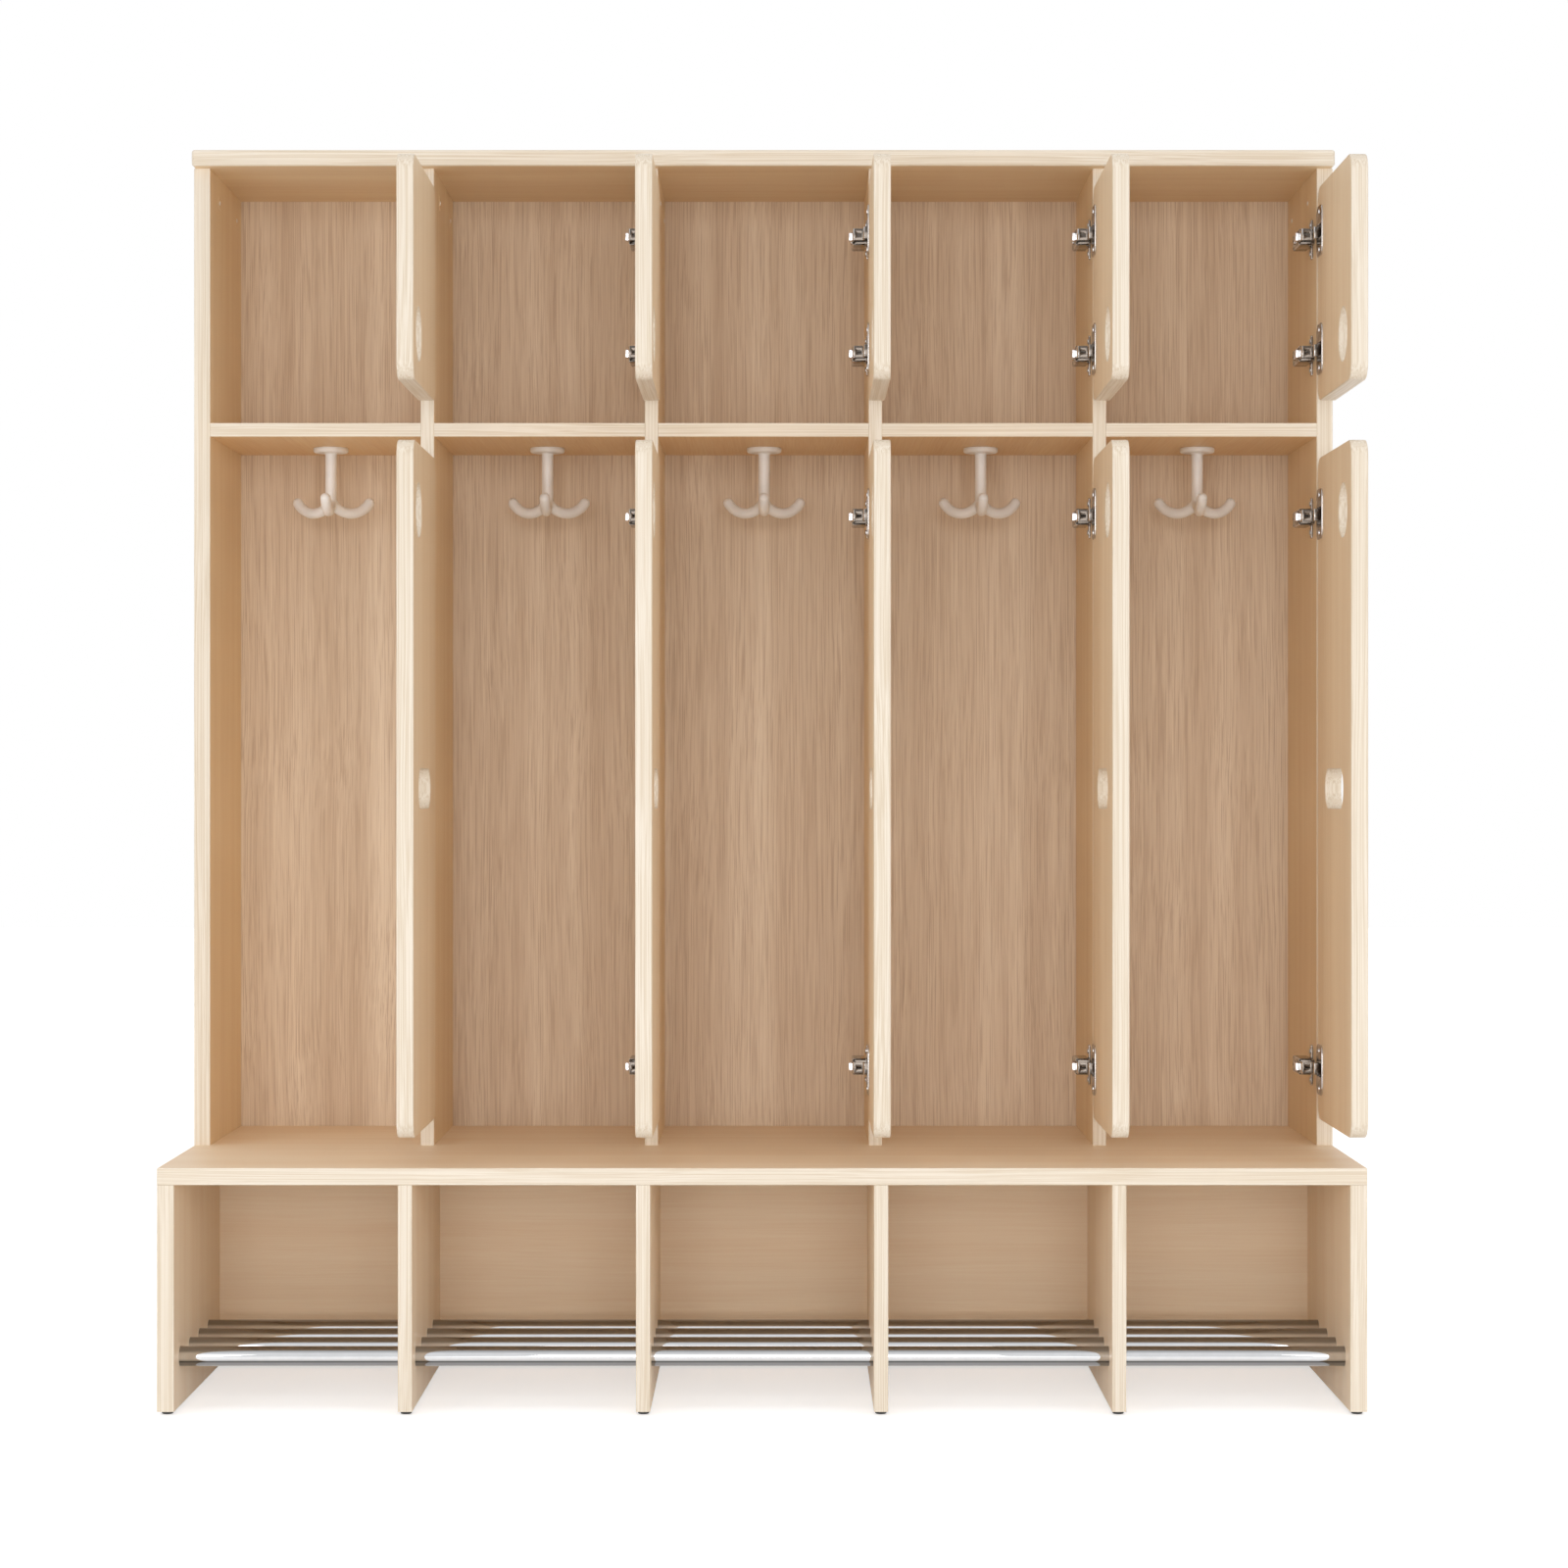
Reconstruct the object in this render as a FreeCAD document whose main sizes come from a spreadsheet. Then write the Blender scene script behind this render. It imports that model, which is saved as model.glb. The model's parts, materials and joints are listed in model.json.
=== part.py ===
import FreeCAD, Part
import Sketcher
import math
import os
import re

# Cloakroom bench for small children: five lockers, each with a small upper cubby and a tall coat
# space, stand on a deeper bench with shoe rails. Every locker has two doors on concealed hinges.
# The doors are drawn standing open at a right angle.
# Millimetres. X runs along the bench to the right, Y into its depth and Z up from the floor.
# The origin is on the floor at the middle of the bench's footprint.

BAYS = 5
HOOK_PRONGS = 3
RAILS = 4

SIZES = {
    # Boards of the cabinet and the bench
    "bay_clear": 235,
    "side_thickness": 18,
    "divider_thickness": 15,
    "shelf_thickness": 15,
    "top_thickness": 18,
    "seat_thickness": 18,
    "back_thickness": 4,
    "infill_thickness": 15,
    "cabinet_depth": 230,
    "cabinet_height": 1090,
    "bench_depth": 460,
    "leg_height": 238,
    "top_overhang": 18,
    "top_corner_radius": 4,
    "top_edge_radius": 3,
    "board_edge_radius": 1,
    # Clear height of the cubby above the shelf, and the inset of the back panel and the infill
    "cubby_height": 284,
    "back_inset": 6,
    "groove_depth": 6,
    "infill_setback": 296,
    # Doors, the gaps that they leave at each opening, and the holes through them
    "door_side_gap": 21,
    "upper_door_lift": 22.2,
    "upper_door_drop": 23.8,
    "tall_door_lift": 31,
    "tall_door_drop": 25.6,
    "door_thickness": 18,
    "door_corner_radius": 19,
    "door_edge_radius": 1.5,
    "finger_hole_radius": 28.5,
    "finger_hole_inset": 55,
    "upper_hole_rise": 53.4,
    "tall_hole_drop": 71,
    "slot_length": 123,
    "slot_height": 42,
    # Hinge pin, the closed door's lap over the panel and the room that its corner has to swing
    "door_lap": 18,
    "swing_clearance": 5.34,
    "pin_depth": 10,
    "pin_radius": 1.3,
    "pin_bite": 2.5,
    "pin_clearance": 0.05,
    # Hinge cup, let into the door
    "cup_inset": 20.5,
    "cup_radius": 17.5,
    "cup_wall": 1,
    "mouth_play": 1,
    "eye_play": 0.7,
    "eye_side_play": 0.92,
    "flange_thickness": 1.5,
    "flange_rim": 1.5,
    "flange_height": 56,
    "flange_width": 14,
    # Hinge arm and its mounting plate on the panel
    "arm_standoff": 18,
    "arm_height": 18,
    "arm_wall": 1.2,
    "arm_front": 12,
    "arm_length": 46,
    "arm_lift": 1,
    "neck_thickness": 2,
    "neck_height": 13,
    "neck_root": 6,
    "neck_front": 4,
    "neck_gap": 4.5,
    "elbow_cut": 3,
    "eye_radius": 2.3,
    "clip_height": 8.5,
    "clip_length": 12,
    "clip_rise": 3.8,
    "clip_overhang": 2,
    "plate_setback": 31,
    "plate_height": 46,
    "plate_width": 13,
    "plate_thickness": 2,
    "plate_corner_radius": 6,
    "plate_screw_spacing": 32,
    "block_margin": 4,
    "arm_play": 0.3,
    "upper_hinge_drop": 50.5,
    "upper_hinge_rise": 56.7,
    "tall_hinge_drop": 63.1,
    "tall_hinge_rise": 55.8,
    # Wood screws of the hinges
    "screw_radius": 1.5,
    "screw_bite": 9,
    "screw_head_radius": 3,
    "screw_head_height": 1.2,
    # Coat hook under the shelf
    "hook_setback": 133,
    "hook_flange_radius": 20,
    "hook_flange_height": 6,
    "hook_flange_round": 2.5,
    "hook_stem_radius": 6,
    "hook_drop": 74.5,
    "prong_radius": 5.4,
    "prong_bend": 30,
    "prong_reach": 27,
    "prong_root_angle": 60,
    "prong_tip_angle": 56,
    "stud_radius": 2,
    "stud_length": 20,
    "stud_bite": 10,
    # Shoe rails
    "shoe_rail_radius": 10.5,
    "shoe_rail_wall": 1.2,
    "shoe_rail_height": 56,
    "shoe_rail_setback": 41,
    "shoe_rail_pitch": 60.5,
    "shoe_rail_socket": 10,
    "shoe_rail_clearance": 0.15,
    # Floor glides
    "glide_height": 4,
    "glide_radius": 6,
    "glide_inset": 14,
    "glide_nail_radius": 1.5,
    "glide_nail_length": 14,
    # Dowels and cam fittings that hold the boards together
    "fit_clearance": 0.05,
    "dowel_radius": 4,
    "dowel_bite": 20,
    "dowel_face_bite": 8,
    "dowel_inset": 60,
    "cam_radius": 7.5,
    "cam_floor": 2.5,
    "cam_drop": 28,
    "cam_front": 64,
    "cam_rear": 34,
    "bolt_radius": 3,
    "bolt_bite": 11,
}

WORD = re.compile(r"[a-z_][a-z_0-9]*")
TURNS = {
    "X": FreeCAD.Rotation(FreeCAD.Vector(0, 1, 0), 90),
    "Y": FreeCAD.Rotation(FreeCAD.Vector(1, 0, 0), -90),
    "Z": FreeCAD.Rotation(),
}

doc = FreeCAD.newDocument("cloakroom_bench")
sheet = doc.addObject("Spreadsheet::Sheet", "Sizes")
for row, (size_name, size_value) in enumerate(SIZES.items(), start=1):
    sheet.set(f"A{row}", size_name)
    sheet.set(f"B{row}", str(size_value))
    sheet.setAlias(f"B{row}", size_name)
doc.recompute()

nodes = []
holes = {}
fasteners = {}


# Formulas that several pieces share

INNER_WIDTH = f"({BAYS} * bay_clear + {BAYS - 1} * divider_thickness)"
PITCH = "(bay_clear + divider_thickness)"
WIDTH = f"({INNER_WIDTH} + 2 * side_thickness)"
BENCH_FRONT = "(-bench_depth / 2)"
REAR = "(bench_depth / 2)"
FACE = f"({REAR} - cabinet_depth)"
INTERIOR = "(cabinet_depth - back_inset - back_thickness)"
LEG_TOP = "(glide_height + leg_height)"
SEAT_TOP = f"({LEG_TOP} + seat_thickness)"
CABINET_TOP = f"({SEAT_TOP} + cabinet_height)"
SHELF_TOP = f"({CABINET_TOP} - cubby_height)"
SHELF_BOTTOM = f"({SHELF_TOP} - shelf_thickness)"
INFILL_FRONT = f"({BENCH_FRONT} + infill_setback)"

CAM_DEPTH = "(divider_thickness - cam_floor)"

# The pin lies in the cup as near the door's edge as the arm's eye allows. The closed door stands
# off the panel by what its corner needs to swing round the pin.
CUP_MOUTH = "(neck_height + 2 * mouth_play)"
CUP_DEPTH = "(pin_depth + eye_radius + eye_play + cup_wall)"
PIN_LENGTH = f"({CUP_MOUTH} + 2 * pin_bite)"
PIN_OFFSET = "(sqrt((cup_radius - cup_wall)^2 - (neck_height / 2)^2) - eye_radius - eye_side_play)"
PIN_INSET = f"(cup_inset - {PIN_OFFSET})"
CLOSED_GAP = f"(sqrt({PIN_INSET}^2 + pin_depth^2) - pin_depth + swing_clearance)"

# Hinge pieces are drawn about a point on the cabinet's front edge at the panel's face
PIN_X = f"(door_lap - {PIN_INSET})"
PIN_Y = f"(-{CLOSED_GAP} - pin_depth)"
DOOR_FACE = f"({PIN_X} - pin_depth)"
DOOR_EDGE = f"({PIN_Y} + {PIN_INSET})"
CUP_Y = f"({DOOR_EDGE} - cup_inset)"
EAR_OFFSET = "((flange_height - flange_width) / 2)"

DOOR_WIDTH = f"({PITCH} - door_side_gap)"
UPPER_DOOR_BOTTOM = f"({SHELF_TOP} + upper_door_lift)"
UPPER_DOOR_HEIGHT = f"({CABINET_TOP} - upper_door_drop - {UPPER_DOOR_BOTTOM})"
TALL_DOOR_BOTTOM = f"({SEAT_TOP} + tall_door_lift)"
TALL_DOOR_HEIGHT = f"({SHELF_BOTTOM} - tall_door_drop - {TALL_DOOR_BOTTOM})"
UPPER_HINGES = ["upper_hinge_rise", f"({UPPER_DOOR_HEIGHT} - upper_hinge_drop)"]
TALL_HINGES = ["tall_hinge_rise", f"({TALL_DOOR_HEIGHT} - tall_hinge_drop)"]


def bay_left(bay):
    """X of the face on a bay's left."""
    return f"(-{INNER_WIDTH} / 2 + {bay} * {PITCH})"


def bay_right(bay):
    """X of the face on a bay's right, which carries the hinges."""
    return f"({bay_left(bay)} + bay_clear)"


def upright_thickness(number):
    """Uprights are counted from 0 at the left end, and the two ends are thicker."""
    return "side_thickness" if number in (0, BAYS) else "divider_thickness"


def upright_left(number):
    """X of an upright's left face."""
    return f"({bay_left(0)} - side_thickness)" if number == 0 else bay_right(number - 1)


def upright_middle(number):
    """X of the middle of an upright's thickness."""
    return f"({upright_left(number)} + {upright_thickness(number)} / 2)"


# Small helpers that make document objects and tie them to the sheet

def formula(text):
    """Turn a formula in size names into one that reads the sheet."""
    return WORD.sub(lambda m: f"Sizes.{m[0]}" if m[0] in SIZES else m[0], str(text))


def value(text):
    """The number that a formula gives now."""
    return float(sheet.evalExpression(formula(text)))


def bind(item, settings):
    """Tie properties of an object to formulas."""
    for path, text in settings.items():
        item.setExpression(path, formula(text))


def move(item, place):
    """Tie an object's place to three formulas."""
    bind(item, {f"Placement.Base.{axis}": text for axis, text in zip("xyz", place)})


def box(name, size, corner):
    """A block from its low corner."""
    item = doc.addObject("Part::Box", name)
    bind(item, dict(zip(("Length", "Width", "Height"), size)))
    move(item, corner)
    return item


def cylinder(name, radius, length, start, along="Z"):
    """A round bar from the middle of its first end."""
    item = doc.addObject("Part::Cylinder", name)
    item.Placement = FreeCAD.Placement(FreeCAD.Vector(), TURNS[along])
    bind(item, {"Radius": radius, "Height": length})
    move(item, start)
    return item


def fuse(name, shapes):
    """Pieces joined into one."""
    item = doc.addObject("Part::MultiFuse", name)
    item.Shapes = shapes
    item.Refine = True
    return item


def cut(name, base, tools):
    """A piece with holes taken out of it."""
    item = doc.addObject("Part::Cut", name)
    item.Base = base
    item.Tool = tools[0] if len(tools) == 1 else fuse(f"{name}_cutters", tools)
    return item


def common(name, first, second):
    """What two pieces share."""
    item = doc.addObject("Part::Common", name)
    item.Base = first
    item.Tool = second
    return item


def group(name, shapes):
    """Separate solids that share one node."""
    item = doc.addObject("Part::Compound", name)
    item.Links = shapes
    return item


def rounded(name, base, radius, wanted):
    """Round the edges that a test picks."""
    doc.recompute()
    size = value(radius)
    picked = [n for n, edge in enumerate(base.Shape.Edges, start=1) if wanted(edge)]
    item = doc.addObject("Part::Fillet", name)
    item.Base = base
    item.Edges = [(n, size, size) for n in picked]
    return item


def copy(name, pattern, place, turn=0):
    """A copy of a pattern piece at a place, turned about the upright axis."""
    item = doc.addObject("App::Link", name)
    item.LinkedObject = pattern
    item.LinkTransform = True
    item.Placement = FreeCAD.Placement(
        FreeCAD.Vector(), FreeCAD.Rotation(FreeCAD.Vector(0, 0, 1), turn)
    )
    move(item, place)
    return item


def node(name, item):
    """Name a finished sub-part, which then gets a file."""
    item.Label = name
    nodes.append(item)


def runs_along(edge, axis):
    """Whether an edge is straight along X, Y or Z."""
    if not isinstance(edge.Curve, Part.Line):
        return False
    return abs(getattr(edge.tangentAt(edge.FirstParameter), axis)) > 0.999


def fasten(kind, radius, length, start, along, boards):
    """A round fastener and the hole for it in each board that it enters."""
    made = fasteners.setdefault(kind, [])
    name = f"{kind}_{len(made) + 1}"
    made.append(cylinder(name, radius, length, start, along))
    hole = cylinder(f"{name}_hole", f"{radius} + fit_clearance", length, start, along)
    for board in boards:
        holes.setdefault(board, []).append(hole)


def finish_board(name, blank):
    """A board with its holes, as a node."""
    drilled = holes.get(name)
    node(name, cut(f"{name}_board", blank, drilled) if drilled else blank)


# Names of the uprights, from the left

CABINET_UPRIGHTS = ["cabinet_side_left"]
CABINET_UPRIGHTS += [f"cabinet_divider_{n}" for n in range(1, BAYS)]
CABINET_UPRIGHTS += ["cabinet_side_right"]
BENCH_UPRIGHTS = [name.replace("cabinet", "bench") for name in CABINET_UPRIGHTS]


def add_dowels():
    """Dowels between the uprights and the seat, the top, the shelves and the infill panels."""
    reach = "(dowel_bite + dowel_face_bite)"
    for number in range(BAYS + 1):
        middle = upright_middle(number)
        cabinet, bench = CABINET_UPRIGHTS[number], BENCH_UPRIGHTS[number]
        low = f"{SEAT_TOP} - dowel_face_bite"
        for depth in (f"{FACE} + dowel_inset", f"{REAR} - dowel_inset"):
            fasten("dowel", "dowel_radius", reach, (middle, depth, low), "Z", [cabinet, "bench_seat"])
        high = f"{CABINET_TOP} - dowel_bite"
        depth = f"{FACE} + {INTERIOR} / 2"
        fasten("dowel", "dowel_radius", reach, (middle, depth, high), "Z", [cabinet, "top_board"])
        leg = f"{LEG_TOP} - dowel_bite"
        for depth in (f"{BENCH_FRONT} + dowel_inset", f"{INFILL_FRONT} - dowel_inset"):
            fasten("dowel", "dowel_radius", reach, (middle, depth, leg), "Z", [bench, "bench_seat"])
        for depth in ("dowel_inset", f"({INTERIOR} - dowel_inset)"):
            place = (f"{FACE} + {depth}", f"{SHELF_BOTTOM} + shelf_thickness / 2")
            add_cross_dowel(number, place, cabinet, "cabinet_shelf")
        for height in ("dowel_inset", "(leg_height - dowel_inset)"):
            place = (f"{INFILL_FRONT} + infill_thickness / 2", f"glide_height + {height}")
            add_cross_dowel(number, place, bench, "bench_back_panel")


def add_cross_dowel(number, place, upright, panel):
    """A dowel through a divider, or into an end, that carries the panels beside it."""
    left, right = f"{panel}_{number}", f"{panel}_{number + 1}"
    if number == 0:
        start = f"{bay_left(0)} - dowel_face_bite"
        length, boards = "(dowel_bite + dowel_face_bite)", [upright, right]
    elif number == BAYS:
        start = f"{bay_right(BAYS - 1)} - dowel_bite"
        length, boards = "(dowel_bite + dowel_face_bite)", [upright, left]
    else:
        start = f"{upright_left(number)} - dowel_bite"
        length, boards = "(divider_thickness + 2 * dowel_bite)", [upright, left, right]
    fasten("dowel", "dowel_radius", length, (start, *place), "X", boards)


def add_cam_fittings():
    """Cam fittings that pull the top board down onto the uprights."""
    cams = []
    for number in range(BAYS + 1):
        name = CABINET_UPRIGHTS[number]
        middle = upright_middle(number)
        height = f"{CABINET_TOP} - cam_drop"
        if number == BAYS:
            start = upright_left(number)
        else:
            start = f"{bay_left(number)} - {CAM_DEPTH}"
        for depth in (f"{FACE} + cam_front", f"{FACE} + {INTERIOR} - cam_rear"):
            place = (middle, depth, height)
            fasten("cam_bolt", "bolt_radius", "(cam_drop + bolt_bite)", place, "Z", [name, "top_board"])
            bolt_hole = holes[name][-1]
            fasten("cam", "cam_radius", CAM_DEPTH, (start, depth, height), "X", [name])
            cams.append(cut(f"cam_lock_{len(cams) + 1}", fasteners["cam"][-1], [bolt_hole]))
    node("cam_locks", group("cam_locks", cams))
    node("cam_bolts", group("cam_bolts", fasteners["cam_bolt"]))


def add_hinge_screw_holes():
    """Pilot holes for the mounting plates, in the face on the right of each bay."""
    for bay in range(BAYS):
        name = CABINET_UPRIGHTS[bay + 1]
        for height in hinge_heights():
            for side in (-1, 1):
                place = (
                    bay_right(bay),
                    f"{FACE} + plate_setback",
                    f"{height} + {side} * plate_screw_spacing / 2",
                )
                hole = cylinder(
                    f"{name}_pilot_hole", "screw_radius + fit_clearance", "screw_bite", place, "X"
                )
                holes.setdefault(name, []).append(hole)


def hinge_heights():
    """Heights of a locker's hinges above the floor."""
    upper = [f"({UPPER_DOOR_BOTTOM} + {rise})" for rise in UPPER_HINGES]
    tall = [f"({TALL_DOOR_BOTTOM} + {rise})" for rise in TALL_HINGES]
    return upper + tall


def add_uprights():
    """The cabinet's sides and dividers, and the bench's legs under them."""
    for number in range(BAYS + 1):
        thick, left = upright_thickness(number), upright_left(number)
        end = number in (0, BAYS)
        name = CABINET_UPRIGHTS[number]
        depth = "cabinet_depth" if end else INTERIOR
        blank = box(f"{name}_blank", (thick, depth, "cabinet_height"), (left, FACE, SEAT_TOP))
        if end:
            shift = "side_thickness - groove_depth" if number == 0 else "0"
            corner = (f"{left} + {shift}", f"{FACE} + {INTERIOR} - fit_clearance", SEAT_TOP)
            size = ("groove_depth", "back_thickness + 2 * fit_clearance", "cabinet_height")
            holes.setdefault(name, []).append(box(f"{name}_groove", size, corner))
        finish_board(name, eased_front(name, blank))
        name = BENCH_UPRIGHTS[number]
        size = (thick, "bench_depth", "leg_height")
        blank = box(f"{name}_blank", size, (left, BENCH_FRONT, "glide_height"))
        finish_board(name, eased_front(name, blank))


def eased_front(name, blank):
    """A board whose two upright front edges are eased."""
    doc.recompute()
    front = blank.Shape.BoundBox.YMin
    return rounded(
        f"{name}_eased", blank, "board_edge_radius",
        lambda edge: runs_along(edge, "z") and edge.CenterOfMass.y < front + 1e-6,
    )


def add_top_and_seat():
    """The board on top of the cabinet and the seat board of the bench."""
    top = box(
        "top_board_blank", (WIDTH, "cabinet_depth + top_overhang", "top_thickness"),
        (f"-{WIDTH} / 2", f"{FACE} - top_overhang", CABINET_TOP),
    )
    doc.recompute()
    front = top.Shape.BoundBox.YMin
    top = rounded(
        "top_board_corners", top, "top_corner_radius",
        lambda edge: runs_along(edge, "z") and edge.CenterOfMass.y < front + 1e-6,
    )
    top = rounded("top_board_eased", top, "top_edge_radius", lambda edge: not runs_along(edge, "z"))
    finish_board("top_board", top)
    seat = box(
        "bench_seat_blank", (WIDTH, "bench_depth", "seat_thickness"),
        (f"-{WIDTH} / 2", BENCH_FRONT, LEG_TOP),
    )
    seat = rounded("bench_seat_eased", seat, "board_edge_radius", lambda edge: True)
    finish_board("bench_seat", seat)


def add_panels():
    """Shelves, the cabinet's back and the infill panels at the back of the shoe bays."""
    back_width = f"({INNER_WIDTH} + 2 * groove_depth)"
    back = box(
        "cabinet_back_sheet", (back_width, "back_thickness", "cabinet_height"),
        (f"-{back_width} / 2", f"{FACE} + {INTERIOR}", SEAT_TOP),
    )
    node("cabinet_back_panel", back)
    infills = []
    for bay in range(BAYS):
        name = f"cabinet_shelf_{bay + 1}"
        size = ("bay_clear", INTERIOR, "shelf_thickness")
        blank = box(f"{name}_blank", size, (bay_left(bay), FACE, SHELF_BOTTOM))
        stud_hole = cylinder(
            f"{name}_stud_hole", "stud_radius + fit_clearance", "stud_bite",
            (f"{bay_left(bay)} + bay_clear / 2", f"{FACE} + hook_setback", SHELF_BOTTOM),
        )
        holes.setdefault(name, []).append(stud_hole)
        finish_board(name, blank)
        name = f"bench_back_panel_{bay + 1}"
        size = ("bay_clear", "infill_thickness", "leg_height")
        blank = box(f"{name}_blank", size, (bay_left(bay), INFILL_FRONT, "glide_height"))
        infills.append(cut(f"{name}_board", blank, holes[name]))
    node("bench_back_panels", group("bench_back_panels", infills))


def add_shoe_rails():
    """Tubes through the bench's dividers, with their ends let into the sides."""
    length = f"({INNER_WIDTH} + 2 * shoe_rail_socket)"
    for number in range(RAILS):
        place = (
            f"-{length} / 2",
            f"{BENCH_FRONT} + shoe_rail_setback + {number} * shoe_rail_pitch",
            "shoe_rail_height",
        )
        name = f"shoe_rail_{number + 1}"
        outside = cylinder(f"{name}_outside", "shoe_rail_radius", length, place, "X")
        bore = cylinder(f"{name}_bore", "shoe_rail_radius - shoe_rail_wall", length, place, "X")
        node(name, cut(f"{name}_tube", outside, [bore]))
        hole = cylinder(f"{name}_hole", "shoe_rail_radius + shoe_rail_clearance", length, place, "X")
        for board in BENCH_UPRIGHTS:
            holes.setdefault(board, []).append(hole)


def add_glides():
    """Round floor glides, nailed into the ends of the legs."""
    glides = []
    pad = cylinder("glide_pad", "glide_radius", "glide_height", (0, 0, 0))
    nail = cylinder("glide_nail", "glide_nail_radius", "glide_nail_length", (0, 0, "glide_height"))
    pattern = fuse("glide_pattern", [pad, nail])
    for number in range(BAYS + 1):
        for depth in (f"{BENCH_FRONT} + glide_inset", f"{REAR} - glide_inset"):
            place = (upright_middle(number), depth, 0)
            glides.append(copy(f"glide_{len(glides) + 1}", pattern, place))
            hole = cylinder(
                "glide_hole", "glide_nail_radius + fit_clearance", "glide_nail_length",
                (*place[:2], "glide_height"),
            )
            holes.setdefault(BENCH_UPRIGHTS[number], []).append(hole)
    node("floor_glides", group("floor_glides", glides))


def hook_pattern():
    """A ceiling hook: a round flange, a stem and three prongs that curve down, out and up."""
    flange = cylinder(
        "hook_flange_disc", "hook_flange_radius", "hook_flange_height", (0, 0, "-hook_flange_height")
    )
    doc.recompute()
    rim = value("-hook_flange_height")
    flange = rounded(
        "hook_flange", flange, "hook_flange_round",
        lambda edge: isinstance(edge.Curve, Part.Circle) and edge.CenterOfMass.z < rim + 1e-6,
    )
    root = math.radians(value("prong_root_angle"))
    bend = doc.addObject("Part::Torus", "prong_bend")
    bend.Placement = FreeCAD.Placement(
        FreeCAD.Vector(),
        FreeCAD.Rotation(
            FreeCAD.Vector(-math.sin(root), 0, -math.cos(root)),
            FreeCAD.Vector(math.cos(root), 0, -math.sin(root)),
            FreeCAD.Vector(0, -1, 0),
        ),
    )
    bind(bend, {"Radius1": "prong_bend", "Radius2": "prong_radius"})
    bind(bend, {"Angle3": "prong_root_angle + prong_tip_angle"})
    move(bend, ("prong_reach", 0, "prong_bend - hook_drop"))
    tip = doc.addObject("Part::Sphere", "prong_tip")
    bind(tip, {"Radius": "prong_radius"})
    move(tip, (
        "prong_reach + prong_bend * sin(prong_tip_angle * 1deg)", 0,
        "prong_bend - hook_drop - prong_bend * cos(prong_tip_angle * 1deg)",
    ))
    prong = fuse("prong_pattern", [bend, tip])
    stem_end = "(hook_drop - prong_bend + prong_bend * cos(prong_root_angle * 1deg) + prong_radius)"
    stem = cylinder("hook_stem", "hook_stem_radius", stem_end, (0, 0, f"-{stem_end}"))
    turns = [360 / HOOK_PRONGS * n - 90 for n in range(HOOK_PRONGS)]
    prongs = [copy(f"prong_{n + 1}", prong, (0, 0, 0), turn) for n, turn in enumerate(turns)]
    whole = fuse("hook_whole", [flange, stem, *prongs])
    bore = cylinder(
        "hook_stud_bore", "stud_radius + fit_clearance", "stud_length - stud_bite",
        (0, 0, "stud_bite - stud_length"),
    )
    return cut("hook_pattern", whole, [bore])


def add_hooks():
    """A coat hook under each shelf, with the stud that holds it."""
    pattern = hook_pattern()
    stud = cylinder("stud_pattern", "stud_radius", "stud_length", (0, 0, "stud_bite - stud_length"))
    studs = []
    for bay in range(BAYS):
        place = (f"{bay_left(bay)} + bay_clear / 2", f"{FACE} + hook_setback", SHELF_BOTTOM)
        node(f"coat_hook_{bay + 1}", copy(f"hook_{bay + 1}", pattern, place))
        studs.append(copy(f"stud_{bay + 1}", stud, place))
    node("hook_studs", group("hook_studs", studs))


def plate_pattern():
    """A mounting plate: two wings screwed to the panel and a block that the arm clips over."""
    wings = box(
        "plate_wings", ("plate_thickness", "plate_width", "plate_height"),
        ("-plate_thickness", "plate_setback - plate_width / 2", "-plate_height / 2"),
    )
    wings = rounded(
        "plate_wings_rounded", wings, "plate_corner_radius", lambda edge: runs_along(edge, "x")
    )
    width = "(arm_height - 2 * arm_wall - 2 * arm_play)"
    rise = "(arm_standoff - neck_thickness)"
    block = box(
        "plate_block", (rise, "arm_length - 2 * block_margin", width),
        (f"-{rise}", "arm_front + block_margin", f"-{width} / 2"),
    )
    screw_holes = [
        cylinder(
            "plate_screw_hole", "screw_radius + fit_clearance", "plate_thickness",
            ("-plate_thickness", "plate_setback", f"{side} * plate_screw_spacing / 2"), "X",
        )
        for side in (-1, 1)
    ]
    return cut("plate_pattern", fuse("plate_body", [wings, block]), screw_holes)


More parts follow.
